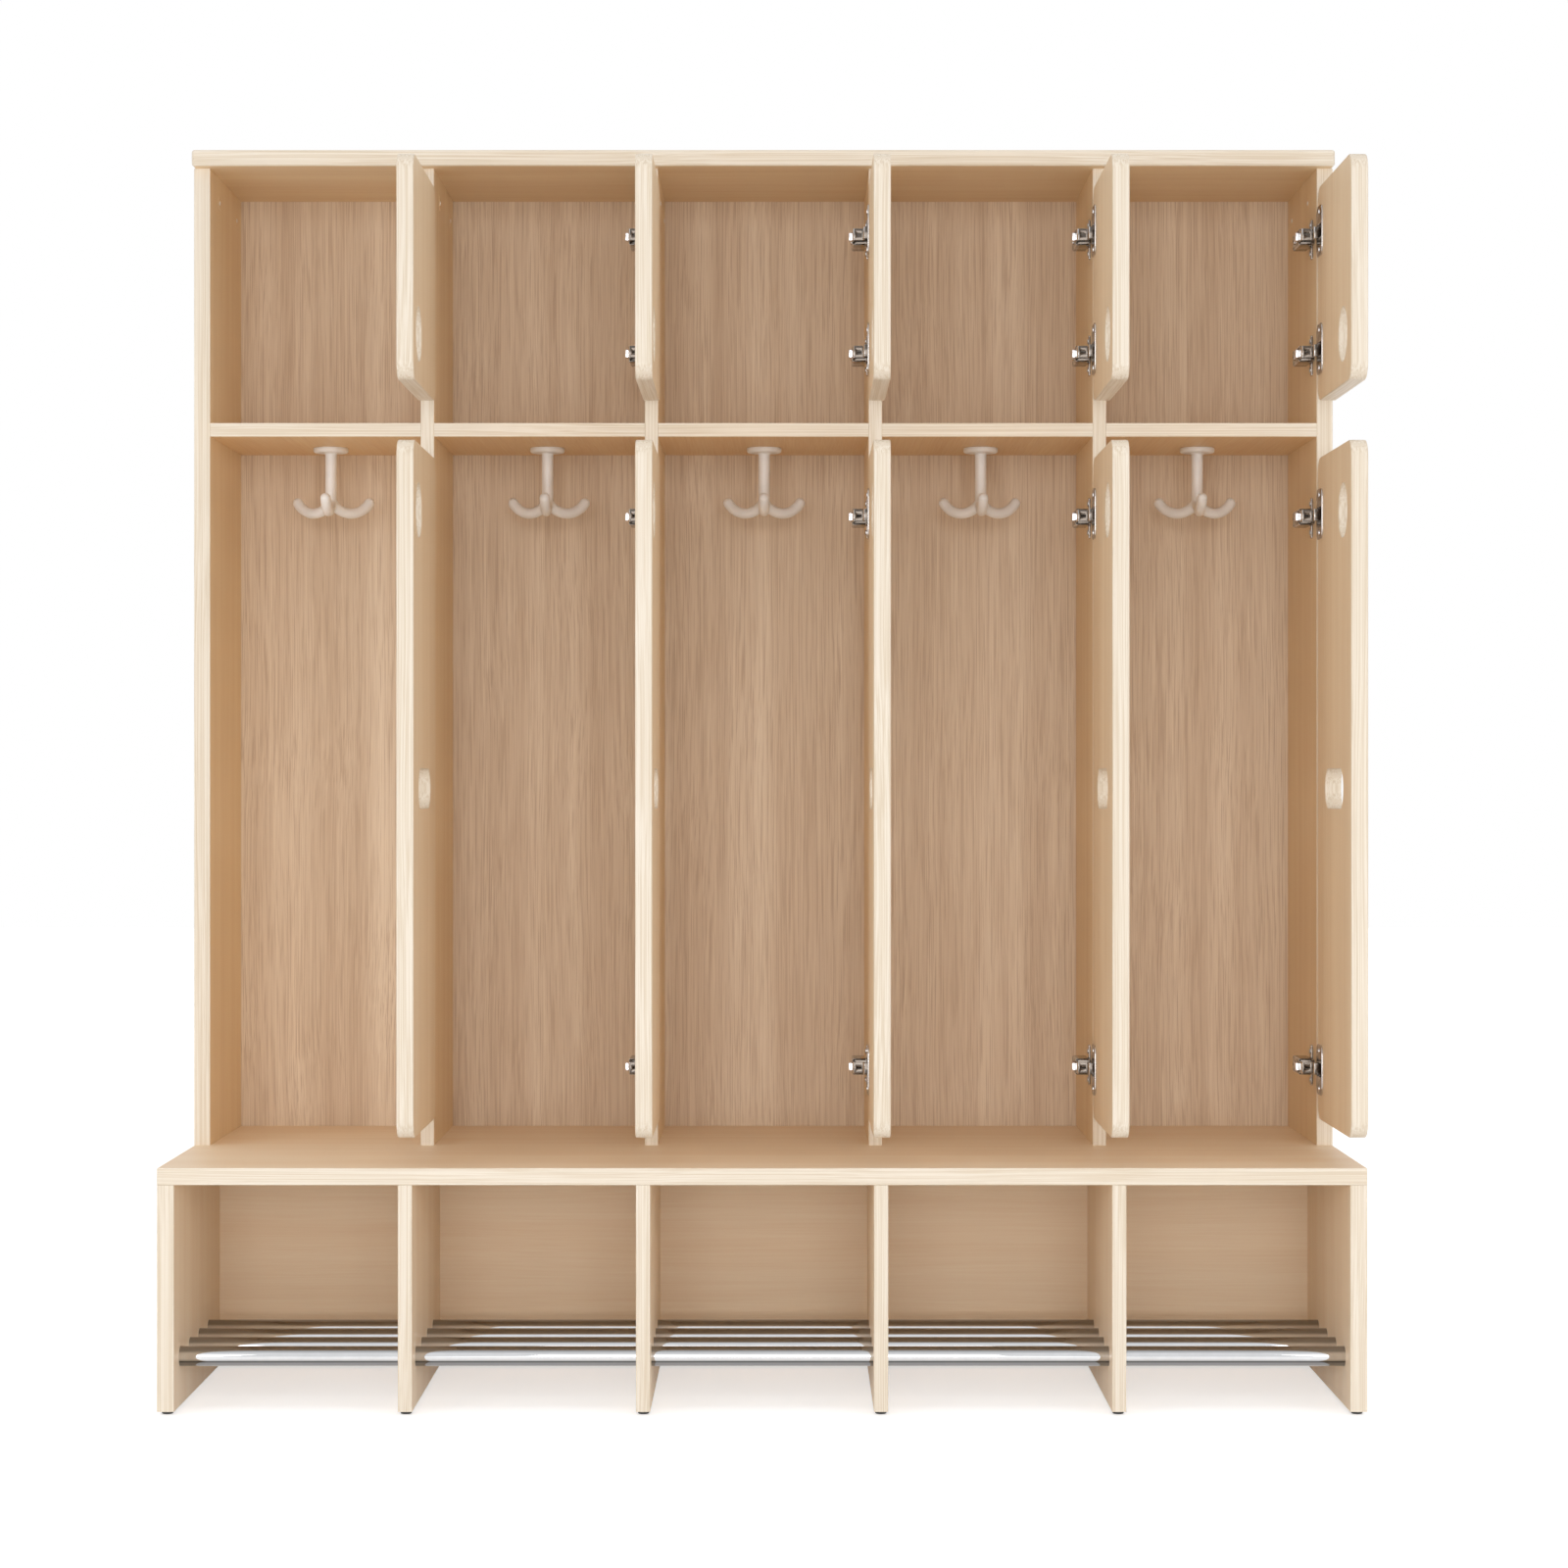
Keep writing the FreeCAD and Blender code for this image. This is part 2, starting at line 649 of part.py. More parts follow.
def neck_profile():
    """Plan of the arm's neck: out past the front edge, across, and on into the cup."""
    outer_x, inner_x = "(-arm_standoff)", "(neck_thickness - arm_standoff)"
    cross_front, cross_rear = "(-neck_front - neck_thickness)", "(-neck_front)"
    entry_left, entry_right = "(-neck_gap - neck_thickness)", "(-neck_gap)"
    eye_front, eye_rear = f"({PIN_Y} - neck_thickness / 2)", f"({PIN_Y} + neck_thickness / 2)"
    root_y = "(arm_front + neck_root)"
    inner_cut = "(elbow_cut - neck_thickness * (2 - sqrt(2)))"
    points = [
        (outer_x, root_y),
        (outer_x, f"{cross_front} + elbow_cut"),
        (f"{outer_x} + elbow_cut", cross_front),
        (entry_left, cross_front),
        (entry_left, eye_front),
        (PIN_X, eye_front),
        (PIN_X, eye_rear),
        (entry_right, eye_rear),
        (entry_right, cross_rear),
        (f"{inner_x} + {inner_cut}", cross_rear),
        (inner_x, f"{cross_rear} + {inner_cut}"),
        (inner_x, root_y),
    ]
    corners = [FreeCAD.Vector(value(x), value(y), 0) for x, y in points]
    sketch = doc.addObject("Sketcher::SketchObject", "neck_profile")
    count = len(points)
    for n in range(count):
        sketch.addGeometry(Part.LineSegment(corners[n], corners[(n + 1) % count]), False)
    for n in range(count):
        sketch.addConstraint(Sketcher.Constraint("Coincident", n, 2, (n + 1) % count, 1))
    for n, (x, y) in enumerate(points):
        for axis, text in (("X", x), ("Y", y)):
            made = sketch.addConstraint(Sketcher.Constraint(f"Distance{axis}", n, 1, value(text)))
            bind(sketch, {f"Constraints[{made}]": text})
    return sketch


def arm_pattern():
    """A hinge arm: a channel over the plate's block, a clip on it and a neck with an eye."""
    neck = doc.addObject("Part::Extrusion", "arm_neck")
    neck.Base = neck_profile()
    neck.DirMode = "Normal"
    neck.Solid = True
    neck.Symmetric = True
    bind(neck, {"LengthFwd": "neck_height"})
    length = "(arm_standoff - plate_thickness - arm_lift)"
    channel = box(
        "arm_channel_outside", (length, "arm_length", "arm_height"),
        ("-arm_standoff", "arm_front", "-arm_height / 2"),
    )
    inside = "(arm_height - 2 * arm_wall)"
    hollow = box(
        "arm_channel_inside", (length, "arm_length", inside),
        ("neck_thickness - arm_standoff", "arm_front", f"-{inside} / 2"),
    )
    clip = box(
        "arm_clip", ("clip_rise", "clip_length", "clip_height"),
        ("-arm_standoff - clip_rise", "arm_front - clip_overhang", "-clip_height / 2"),
    )
    eye = cylinder("arm_eye", "eye_radius", "neck_height", (PIN_X, PIN_Y, "-neck_height / 2"))
    channel = cut("arm_channel", channel, [hollow])
    body = fuse("arm_body", [channel, neck, clip, eye])
    bore = cylinder("arm_eye_bore", "pin_radius", "neck_height", (PIN_X, PIN_Y, "-neck_height / 2"))
    return cut("arm_pattern", body, [bore])


def screw_pattern(name, grip):
    """A wood screw along X through a plate of some thickness, with its seat at the origin."""
    shank = cylinder(f"{name}_shank", "screw_radius", f"screw_bite + {grip}", (f"-{grip}", 0, 0), "X")
    head = cylinder(
        f"{name}_head", "screw_head_radius", "screw_head_height",
        (f"-{grip} - screw_head_height", 0, 0), "X",
    )
    return fuse(f"{name}_pattern", [shank, head])


def cup_pattern():
    """A hinge cup with its flange, the mouth for the arm and the seat of the pin."""
    face = f"({DOOR_FACE} - flange_thickness)"
    cup = cylinder("cup_barrel", "cup_radius", CUP_DEPTH, (DOOR_FACE, CUP_Y, 0), "X")
    rim = cylinder("cup_rim", "cup_radius + flange_rim", "flange_thickness", (face, CUP_Y, 0), "X")
    strap = box(
        "cup_strap", ("flange_thickness", "flange_width", f"2 * {EAR_OFFSET}"),
        (face, f"{CUP_Y} - flange_width / 2", f"-{EAR_OFFSET}"),
    )
    ear_places = [(face, CUP_Y, f"{side} * {EAR_OFFSET}") for side in (-1, 1)]
    ears = [
        cylinder("cup_ear", "flange_width / 2", "flange_thickness", place, "X") for place in ear_places
    ]
    depth = f"(flange_thickness + {CUP_DEPTH} - cup_wall)"
    bore = cylinder("cup_bore", "cup_radius - cup_wall", depth, (face, CUP_Y, 0), "X")
    mouth = box(
        "cup_mouth_block", (depth, "2 * cup_radius", CUP_MOUTH),
        (face, f"{CUP_Y} - cup_radius", f"-{CUP_MOUTH} / 2"),
    )
    play = f"({PIN_LENGTH} + 4 * pin_clearance)"
    pin_hole = cylinder("cup_pin_hole", "pin_radius + pin_clearance", play, (PIN_X, PIN_Y, f"-{play} / 2"))
    screw_holes = [
        cylinder("cup_screw_hole", "screw_radius + fit_clearance", "flange_thickness", place, "X")
        for place in ear_places
    ]
    body = fuse("cup_body", [cup, rim, strap, *ears])
    return cut("cup_pattern", body, [common("cup_cavity", bore, mouth), pin_hole, *screw_holes])


def door_pattern(name, height, hinges, openings):
    """A door standing open, drawn from the low corner of its hinge edge."""
    size = ("door_thickness", DOOR_WIDTH, height)
    blank = box(f"{name}_blank", size, (DOOR_FACE, f"{DOOR_EDGE} - {DOOR_WIDTH}", 0))
    corners = rounded(
        f"{name}_corners", blank, "door_corner_radius", lambda edge: runs_along(edge, "x")
    )
    open_panel = cut(f"{name}_open_panel", corners, openings)
    eased = rounded(
        f"{name}_eased", open_panel, "door_edge_radius", lambda edge: not runs_along(edge, "x")
    )
    seats = []
    for rise in hinges:
        middle = (DOOR_FACE, CUP_Y, rise)
        seats.append(cylinder("door_cup_bore", "cup_radius + fit_clearance", CUP_DEPTH, middle, "X"))
        for side in (-1, 1):
            ear = (DOOR_FACE, CUP_Y, f"{rise} + {side} * {EAR_OFFSET}")
            seats.append(cylinder("door_pilot_hole", "screw_radius + fit_clearance", "screw_bite", ear, "X"))
    return cut(f"{name}_pattern", eased, seats)


def finger_hole(name, rise):
    """The round hole through a door, near its free edge."""
    place = (DOOR_FACE, f"{DOOR_EDGE} - {DOOR_WIDTH} + finger_hole_inset", rise)
    return cylinder(name, "finger_hole_radius", "door_thickness", place, "X")


def pull_slot():
    """The long hole in the middle of a tall door."""
    middle, rise = f"({DOOR_EDGE} - {DOOR_WIDTH} / 2)", f"({TALL_DOOR_HEIGHT} / 2)"
    half = "((slot_length - slot_height) / 2)"
    bar = box(
        "slot_bar", ("door_thickness", f"2 * {half}", "slot_height"),
        (DOOR_FACE, f"{middle} - {half}", f"{rise} - slot_height / 2"),
    )
    places = [(DOOR_FACE, f"{middle} + {side} * {half}", rise) for side in (-1, 1)]
    ends = [cylinder("slot_end", "slot_height / 2", "door_thickness", place, "X") for place in places]
    return fuse("pull_slot", [bar, *ends])


def add_doors():
    """The doors, and in each door its hinge cups with their screws."""
    cup = cup_pattern()
    screw = screw_pattern("cup_screw", "flange_thickness")
    upper = door_pattern(
        "upper_door", UPPER_DOOR_HEIGHT, UPPER_HINGES, [finger_hole("upper_hole", "upper_hole_rise")]
    )
    tall = door_pattern(
        "tall_door", TALL_DOOR_HEIGHT, TALL_HINGES,
        [finger_hole("tall_hole", f"{TALL_DOOR_HEIGHT} - tall_hole_drop"), pull_slot()],
    )
    kinds = (
        ("upper", upper, UPPER_DOOR_BOTTOM, UPPER_HINGES),
        ("tall", tall, TALL_DOOR_BOTTOM, TALL_HINGES),
    )
    for kind, pattern, bottom, hinges in kinds:
        for bay in range(BAYS):
            name = f"{kind}_door_{bay + 1}"
            place = (bay_right(bay), FACE, bottom)
            node(name, copy(f"{name}_copy", pattern, place))
            fittings = []
            for rise in hinges:
                fittings.append(copy("cup", cup, (*place[:2], f"{bottom} + {rise}")))
                for side in (-1, 1):
                    height = f"{bottom} + {rise} + {side} * {EAR_OFFSET}"
                    spot = (f"{place[0]} + {DOOR_FACE}", f"{FACE} + {CUP_Y}", height)
                    fittings.append(copy("cup_screw", screw, spot))
            node(f"{kind}_hinge_cups_{bay + 1}", group(f"{kind}_cups_{bay + 1}", fittings))


def add_hinge_arms():
    """What stays on the cabinet of every hinge: the plate, its screws, the arm and the pin."""
    plate, arm = plate_pattern(), arm_pattern()
    screw = screw_pattern("plate_screw", "plate_thickness")
    pin = cylinder("pin_pattern", "pin_radius", PIN_LENGTH, (PIN_X, PIN_Y, f"-{PIN_LENGTH} / 2"))
    parts = {"hinge_plates": [], "hinge_arms": [], "hinge_pins": [], "hinge_plate_screws": []}
    for bay in range(BAYS):
        for height in hinge_heights():
            place = (bay_right(bay), FACE, height)
            parts["hinge_plates"].append(copy("plate", plate, place))
            parts["hinge_arms"].append(copy("arm", arm, place))
            parts["hinge_pins"].append(copy("pin", pin, place))
            for side in (-1, 1):
                spot = (
                    bay_right(bay), f"{FACE} + plate_setback",
                    f"{height} + {side} * plate_screw_spacing / 2",
                )
                parts["hinge_plate_screws"].append(copy("plate_screw", screw, spot))
    for name, copies in parts.items():
        node(name, group(name, copies))


def check_document():
    """Stop if any object failed or any sub-part has no sound shape."""
    failed = [item.Label for item in doc.Objects if {"Invalid", "Error"} & set(item.State)]
    if failed:
        raise RuntimeError(f"objects that failed: {failed}")
    for item in nodes:
        shape = Part.getShape(item)
        if shape.isNull() or not shape.isValid() or not shape.Solids:
            raise RuntimeError(f"{item.Label} has no sound shape")


def write_parts():
    """Write one file for each sub-part."""
    os.makedirs("parts", exist_ok=True)
    for item in nodes:
        shape = Part.getShape(item)
        shape.exportStep(f"parts/{item.Label}.step")
        print(f"{item.Label}: {len(shape.Solids)} solids, {shape.Volume / 1000:.1f} cm3")


def main():
    """Build every sub-part, check it and write it."""
    add_dowels()
    add_cam_fittings()
    add_hinge_screw_holes()
    add_shoe_rails()
    add_glides()
    add_uprights()
    add_top_and_seat()
    add_panels()
    node("dowels", group("dowels", fasteners["dowel"]))
    add_hooks()
    add_hinge_arms()
    add_doors()
    doc.recompute()
    check_document()
    write_parts()


main()
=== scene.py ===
import bmesh
import bpy
import json
import math
from bpy.props import FloatProperty, FloatVectorProperty, IntProperty, PointerProperty
from mathutils import Matrix, Vector


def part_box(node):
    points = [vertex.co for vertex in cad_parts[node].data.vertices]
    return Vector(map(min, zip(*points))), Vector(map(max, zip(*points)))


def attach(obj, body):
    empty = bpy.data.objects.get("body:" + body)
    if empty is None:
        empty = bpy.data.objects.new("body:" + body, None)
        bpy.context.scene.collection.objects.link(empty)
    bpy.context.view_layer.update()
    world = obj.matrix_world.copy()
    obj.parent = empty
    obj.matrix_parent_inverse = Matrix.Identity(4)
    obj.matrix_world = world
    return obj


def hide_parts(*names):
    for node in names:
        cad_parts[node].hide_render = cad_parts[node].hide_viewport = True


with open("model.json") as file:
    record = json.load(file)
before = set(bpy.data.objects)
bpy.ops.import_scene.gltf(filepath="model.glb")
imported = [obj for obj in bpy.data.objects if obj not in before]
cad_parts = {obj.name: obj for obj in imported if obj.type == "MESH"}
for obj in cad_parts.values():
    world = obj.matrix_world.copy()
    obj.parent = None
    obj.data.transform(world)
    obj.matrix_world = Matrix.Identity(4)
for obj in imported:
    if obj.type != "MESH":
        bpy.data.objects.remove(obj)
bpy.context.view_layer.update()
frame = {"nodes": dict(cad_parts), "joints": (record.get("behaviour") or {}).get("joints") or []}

bl_info = {
    "name": "Cloakroom bench",
    "version": (1, 0, 0),
    "blender": (4, 5, 0),
    "location": "View3D > Sidebar > Bench",
    "description": "Finishes and fine fittings for a children's cloakroom bench",
    "category": "Object",
}

# The frame is in metres, with +X to the right, +Y into the depth and +Z up.
BAYS, RAILS = 5, 4
UPRIGHTS = ["side_left", "divider_1", "divider_2", "divider_3", "divider_4", "side_right"]
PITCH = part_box("coat_hook_2")[0][0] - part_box("coat_hook_1")[0][0]
SHELF_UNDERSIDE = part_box("cabinet_shelf_1")[0][2]
CABINET_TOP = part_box("cabinet_side_left")[1][2]
CABINET_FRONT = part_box("cabinet_side_left")[0][1]
LAST_BAY_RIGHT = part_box("cabinet_side_right")[0][0]
FIRST_BAY_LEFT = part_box("cabinet_side_left")[1][0]
HOOK_MIDDLE_Y = (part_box("hook_studs")[0][1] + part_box("hook_studs")[1][1]) / 2
RAIL_LOW, RAIL_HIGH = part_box("shoe_rail_1")
GLIDE_LOW, GLIDE_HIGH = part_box("floor_glides")

# Small sizes in metres that the settings leave alone
TOUCH = 1e-6  # closer places count as one
SLIVER = 4e-5  # closer points are merged after fine rounding
OVERSHOOT = 0.001  # how far a cutter reaches past what it cuts
HOOK_FLANGE_ROUND, HOOK_STEM_ROUND, HOOK_VOXEL = 0.0025, 0.003, 0.0009
RAIL_RIM = 0.0003
GLIDE_ROUND, GLIDE_PIN_RADIUS, GLIDE_PIN_LENGTH, GLIDE_PIN_POINT = 0.0009, 0.0015, 0.0135, 0.0005
ARM_BEND, ARM_EDGE, EYE_ROUND = 0.0018, 0.0003, 0.0004
ARM_SLOT_START, ARM_SLOT_END, ARM_SLOT_DEPTH = 0.019, 0.006, 0.004
ARM_SLOT_HALF, ARM_SLOT_ROUND = 0.0026, 0.0025
NECK_SLOT_SHIFT, NECK_SLOT_HALF_WIDTH, NECK_SLOT_HALF_HEIGHT = 0.0015, 0.0028, 0.0014
NECK_SLOT_ROUND, NECK_EDGE = 0.0012, 0.0002
CLIP_SINK, CLIP_ROUND, CLIP_FRAME, CLIP_DISH = 0.0004, 0.0004, 0.0006, 0.0003
WING_CORNER, WING_ROUND, BLOCK_PLAY, BLOCK_ROUND = 0.003, 0.0006, 0.0003, 0.0008
CUP_EDGE, COVER_ROUND, PLUG_ROUND = 0.0004, 0.0002, 0.0004

# Shares of another size, and limits for what counts as facing a way, as along an axis or as sharp
WING_TAPER, ARM_SCREW_SCALE, GLIDE_PIN_TIP = 0.55, 1.25, 0.4
SCREW_DOME, SCREW_POINT, SCREW_TIP = 0.62, 0.2, 0.3
CROSS_REACH, CROSS_HALF, CROSS_FLOOR = 0.62, 0.14, 0.45
FACING, ALONG = 0.99, 0.999
RIM_ANGLE, BREAK_ANGLE = math.radians(50), math.radians(40)


def bay_right(bay):
    """X of the panel face on a bay's right, which carries its hinges."""
    return LAST_BAY_RIGHT - (BAYS - bay) * PITCH


def bay_left(bay):
    """X of the panel face on a bay's left."""
    return FIRST_BAY_LEFT + (bay - 1) * PITCH


# Sizes and colours that a user may change

def length(name, description, default):
    """A size in metres."""
    return FloatProperty(
        name=name, description=description, default=default, min=0, max=1, precision=5, unit="LENGTH")


def angle(name, description, degrees):
    """An angle, given here in degrees."""
    return FloatProperty(
        name=name, description=description, default=math.radians(degrees), min=0, max=math.pi,
        subtype="ANGLE")


def colour(name, description, default):
    """A colour of a finish."""
    return FloatVectorProperty(
        name=name, description=description, default=default, size=3, min=0, max=1, subtype="COLOR")


class BenchFinishes(bpy.types.PropertyGroup):
    """Colours of the finishes and the scale of the grain."""

    face_pale: colour("Upright, pale", "Pale grain of the uprights' faces", (0.925, 0.735, 0.490))
    face_dark: colour("Upright, dark", "Dark grain of the uprights' faces", (0.820, 0.600, 0.370))
    door_pale: colour("Door, pale", "Pale grain of the doors' faces", (0.930, 0.765, 0.555))
    door_dark: colour("Door, dark", "Dark grain of the doors' faces", (0.830, 0.635, 0.425))
    # Paler maple of the seat, infill and legs: its paleness over the uprights' maple is painted light for
    # the light on the seat top
    seat_pale_painted_light: colour("Seat, pale", "Pale grain of the seat, infill and legs", (0.960, 0.785, 0.580))
    seat_dark_painted_light: colour("Seat, dark", "Dark grain of the seat, infill and legs", (0.885, 0.668, 0.458))
    # The shelves' maple is a darker, deeper copy of the uprights' maple: painted shade for their shaded
    # undersides
    shelf_pale_painted_shade: colour("Shelf, pale", "Pale grain of the shelves", (0.900, 0.655, 0.390))
    shelf_dark_painted_shade: colour("Shelf, dark", "Dark grain of the shelves", (0.790, 0.525, 0.290))
    band_pale: colour("Edge band, pale", "Pale ground of the edge bands", (0.890, 0.795, 0.670))
    band_dark: colour("Edge band, dark", "Tan lines of the edge bands", (0.760, 0.640, 0.490))
    back_pale: colour("Back sheet, pale", "Pale grain of the cabinet's back", (0.950, 0.805, 0.640))
    back_dark: colour("Back sheet, dark", "Dark grain of the cabinet's back", (0.700, 0.535, 0.390))
    back_pore: colour("Back sheet, pores", "Short dark pores of the cabinet's back", (0.560, 0.395, 0.265))
    dowel_pale: colour("Dowel, pale", "Pale grain of the bare dowels", (0.680, 0.480, 0.280))
    dowel_dark: colour("Dowel, dark", "Dark grain of the bare dowels", (0.500, 0.320, 0.160))
    # Hinge nickel with painted light: edges and corners keep this plain nickel as a painted highlight,
    # faces get painted shade, and the arms' fronts a dark painted shade
    nickel: colour("Nickel edge", "Polished edges of the hinges' pressings", (0.680, 0.665, 0.660))
    nickel_painted_shade_face: colour("Nickel face", "Dull faces of the hinges' pressings", (0.370, 0.345, 0.320))
    nickel_painted_shade_front: colour("Nickel front", "Dark fronts of the hinges' arms", (0.130, 0.110, 0.094))
    clip_metal: colour("Clip metal", "Bright clips on the hinge arms", (0.880, 0.870, 0.890))
    zinc: colour("Zinc plate", "Plating of screws, bolts and cam locks", (0.600, 0.600, 0.610))
    chrome: colour("Chrome plate", "Plating of the shoe rails", (0.680, 0.685, 0.700))
    hook_plastic: colour("Hook plastic", "Moulded coat hooks", (0.965, 0.950, 0.935))
    glide_plastic: colour("Glide plastic", "Floor glides", (0.020, 0.020, 0.021))
    streak_width: length("Streak width", "Width of one streak of the grain", 0.0026)
    streak_length: length("Streak length", "Length of one streak of the grain", 0.19)
    line_width: length("Band line width", "Width of one line of the edge bands", 0.0018)
    line_length: length("Band line length", "Length of one line of the edge bands", 0.42)
    pore_width: length("Pore width", "Width of one pore of the back sheet", 0.0013)
    pore_length: length("Pore length", "Length of one pore of the back sheet", 0.11)


class BenchFittings(bpy.types.PropertyGroup):
    """Sizes of the hooks, rails, glides and cam covers."""

    hook_drop: length("Hook drop", "From the shelf to the middle of a prong's lowest point", 0.0745)
    hook_flange: length("Hook flange radius", "Radius of the flange under the shelf", 0.020)
    hook_flange_height: length("Hook flange height", "Thickness of that flange", 0.006)
    hook_stem: length("Hook stem radius", "Radius of the hook's stem", 0.0067)
    prong_radius: length("Prong radius", "Radius of a prong's round section", 0.0061)
    prong_bend: length("Prong bend", "Radius of the bend that a prong follows", 0.029)
    prong_reach: length("Prong reach", "From the stem to the middle of that bend", 0.0240)
    prong_root: angle("Prong root angle", "The bend on the stem's side of its lowest point", 60)
    prong_tip: angle("Prong tip angle", "The bend on the tip's side of its lowest point", 56)
    prongs: IntProperty(
        name="Prongs", description="How many prongs a hook has", min=1, max=8, default=3)
    rail_wall: length("Rail wall", "Wall of a shoe rail's tube", 0.0012)
    glide_radius: length("Glide radius", "Radius of a floor glide", 0.006)
    glide_height: length("Glide height", "Height of a floor glide", 0.004)
    cover_radius: length("Cam cover radius", "Radius of the thin foil disc over a cam lock", 0.0082)
    cover_height: length("Cam cover height", "How far that disc stands off the board", 0.0003)
    plug_radius: length("Cam plug radius", "Radius of the pale plug in the disc", 0.0024)
    plug_height: length("Cam plug height", "How far that plug stands off the disc", 0.0006)
    cover_drop: length("Cam cover drop", "From the cabinet's top to the middle of a cover", 0.028)
    cover_front: length("Cam cover front", "From the cabinet's front to the front covers", 0.064)
    cover_rear: length("Cam cover rear", "From the cabinet's front to the rear covers", 0.186)


class BenchHinges(bpy.types.PropertyGroup):
    """Sizes of the concealed hinges, from the panel's face and the cabinet's front."""

    arm_standoff: length("Arm standoff", "From the panel to the arm's outer face", 0.018)
    arm_lift: length("Arm lift", "From the panel to the arm's lower rims", 0.003)
    arm_front: length("Arm front", "From the cabinet's front to the arm's channel", 0.012)
    arm_length: length("Arm length", "Length of the arm's channel", 0.046)
    arm_height: length("Arm height", "Width of the arm's channel, up and down", 0.018)
    arm_wall: length("Arm wall", "Wall of the arm's channel", 0.0012)
    neck_height: length("Neck height", "Width of the arm's neck, up and down", 0.013)
    neck_thickness: length("Neck thickness", "Thickness of the arm's neck", 0.002)
    neck_root: length("Neck root", "How far the neck lies on the channel", 0.006)
    neck_front: length("Neck front", "From the cabinet's front to the neck's cross run", 0.004)
    neck_gap: length("Neck gap", "From the panel to the run that enters the cup", 0.0045)
    elbow_radius: length("Elbow radius", "Outer radius of the neck's bends", 0.0024)
    eye_radius: length("Eye radius", "Radius of the eye round the pin", 0.0023)
    clip_rise: length("Clip rise", "How far the clip stands off the arm", 0.0038)
    clip_length: length("Clip length", "Length of the clip", 0.012)
    clip_height: length("Clip height", "Width of the clip, up and down", 0.0085)
    clip_overhang: length("Clip overhang", "How far the clip reaches in front of the arm", 0.002)
    plate_setback: length("Plate setback", "From the cabinet's front to the screws", 0.031)
    plate_height: length("Plate height", "Length of the mounting plate's wings", 0.046)
    plate_width: length("Plate width", "Width of the wings", 0.013)
    plate_thickness: length("Plate thickness", "Thickness of the wings", 0.002)
    plate_screws: length("Plate screws", "Distance between the plate's two screws", 0.032)
    block_margin: length("Block margin", "How far the block lies inside the arm's ends", 0.004)
    cup_radius: length("Cup radius", "Radius of the cup in the door", 0.0175)
    cup_inset: length("Cup inset", "From the door's hinge edge to the cup's middle", 0.0205)
    cup_depth: length("Cup depth", "Depth of the cup in the door", 0.014)
    cup_mouth: length("Cup mouth", "Width of the cup's mouth, up and down", 0.015)
    cup_wall: length("Cup wall", "Wall of the cup", 0.001)
    flange_rim: length("Flange rim", "How far the flange reaches past the cup", 0.0015)
    flange_thickness: length("Flange thickness", "Thickness of the cup's flange", 0.0015)
    flange_height: length("Flange height", "Length of the flange with its ears", 0.056)
    flange_corner: length("Flange corner", "Radius of the flange's corners", 0.010)
    flange_screws: length("Flange screws", "Distance between the flange's two screws", 0.042)
    screw_head: length("Screw head radius", "Radius of a screw's head", 0.003)
    screw_rise: length("Screw head rise", "Height of a screw's head", 0.0012)
    screw_shank: length("Screw shank radius", "Radius of a screw's shank", 0.0015)
    screw_bite: length("Screw bite", "How far a screw goes into the wood", 0.009)


class BenchStage(bpy.types.PropertyGroup):
    """Camera and light."""

    camera_place: FloatVectorProperty(
        name="Camera place", description="Where the camera stands", subtype="TRANSLATION", size=3,
        default=(0.023, -3.860, 0.6632))
    lens: FloatProperty(
        name="Lens", description="Focal length for a 36 mm sensor, in millimetres",
        min=20, max=200, default=79.4)
    sky_low: FloatProperty(
        name="Sky, low", description="Soft light from the horizon", min=0, max=2, default=0.19)
    sky_high: FloatProperty(
        name="Sky, high", description="Soft light from straight above", min=0, max=2, default=1.06)
    key_power: FloatProperty(
        name="Key power", description="Power of the large soft light at the front", unit="POWER",
        min=0, max=2000, default=80)
    fill_power: FloatProperty(
        name="Fill power", description="Power of each soft light at the sides", unit="POWER",
        min=0, max=2000, default=33)
    low_power: FloatProperty(
        name="Low power", description="Power of the soft strip that lights the shoe bays", unit="POWER",
        min=0, max=2000, default=0.5)


# Small steps of hand modelling

def clear_selection():
    """Leave edit mode, with nothing selected."""
    active = bpy.context.view_layer.objects.active
    if active and active.mode != "OBJECT":
        bpy.ops.object.mode_set(mode="OBJECT")
    bpy.ops.object.select_all(action="DESELECT")


def make_active(*pieces):
    """Select these pieces alone, with the first one active."""
    clear_selection()
    for piece in pieces:
        piece.select_set(True)
    bpy.context.view_layer.objects.active = pieces[0]


def settle(name):
    """Name the new primitive and put its place, turn and size into its mesh."""
    bpy.ops.object.transform_apply(location=True, rotation=True, scale=True)
    piece = bpy.context.object
    piece.name = name
    return piece


def start_block(name, low, high):
    """A block between two corners, to be shaped further."""
    clear_selection()
    bpy.ops.mesh.primitive_cube_add(size=1, location=(Vector(low) + Vector(high)) / 2)
    bpy.context.object.scale = Vector(high) - Vector(low)
    return settle(name)


def start_round(name, radius, start, reach, along="Z", sides=32):
    """A round bar along X or Z from the middle of its first end, to be shaped further."""
    clear_selection()
    turn = {"X": (0, math.pi / 2, 0), "Z": (0, 0, 0)}[along]
    bpy.ops.mesh.primitive_cylinder_add(
        vertices=sides, radius=radius, depth=reach,
        location=Vector(start) + Vector(AXES[along]) * reach / 2, rotation=turn)
    return settle(name)


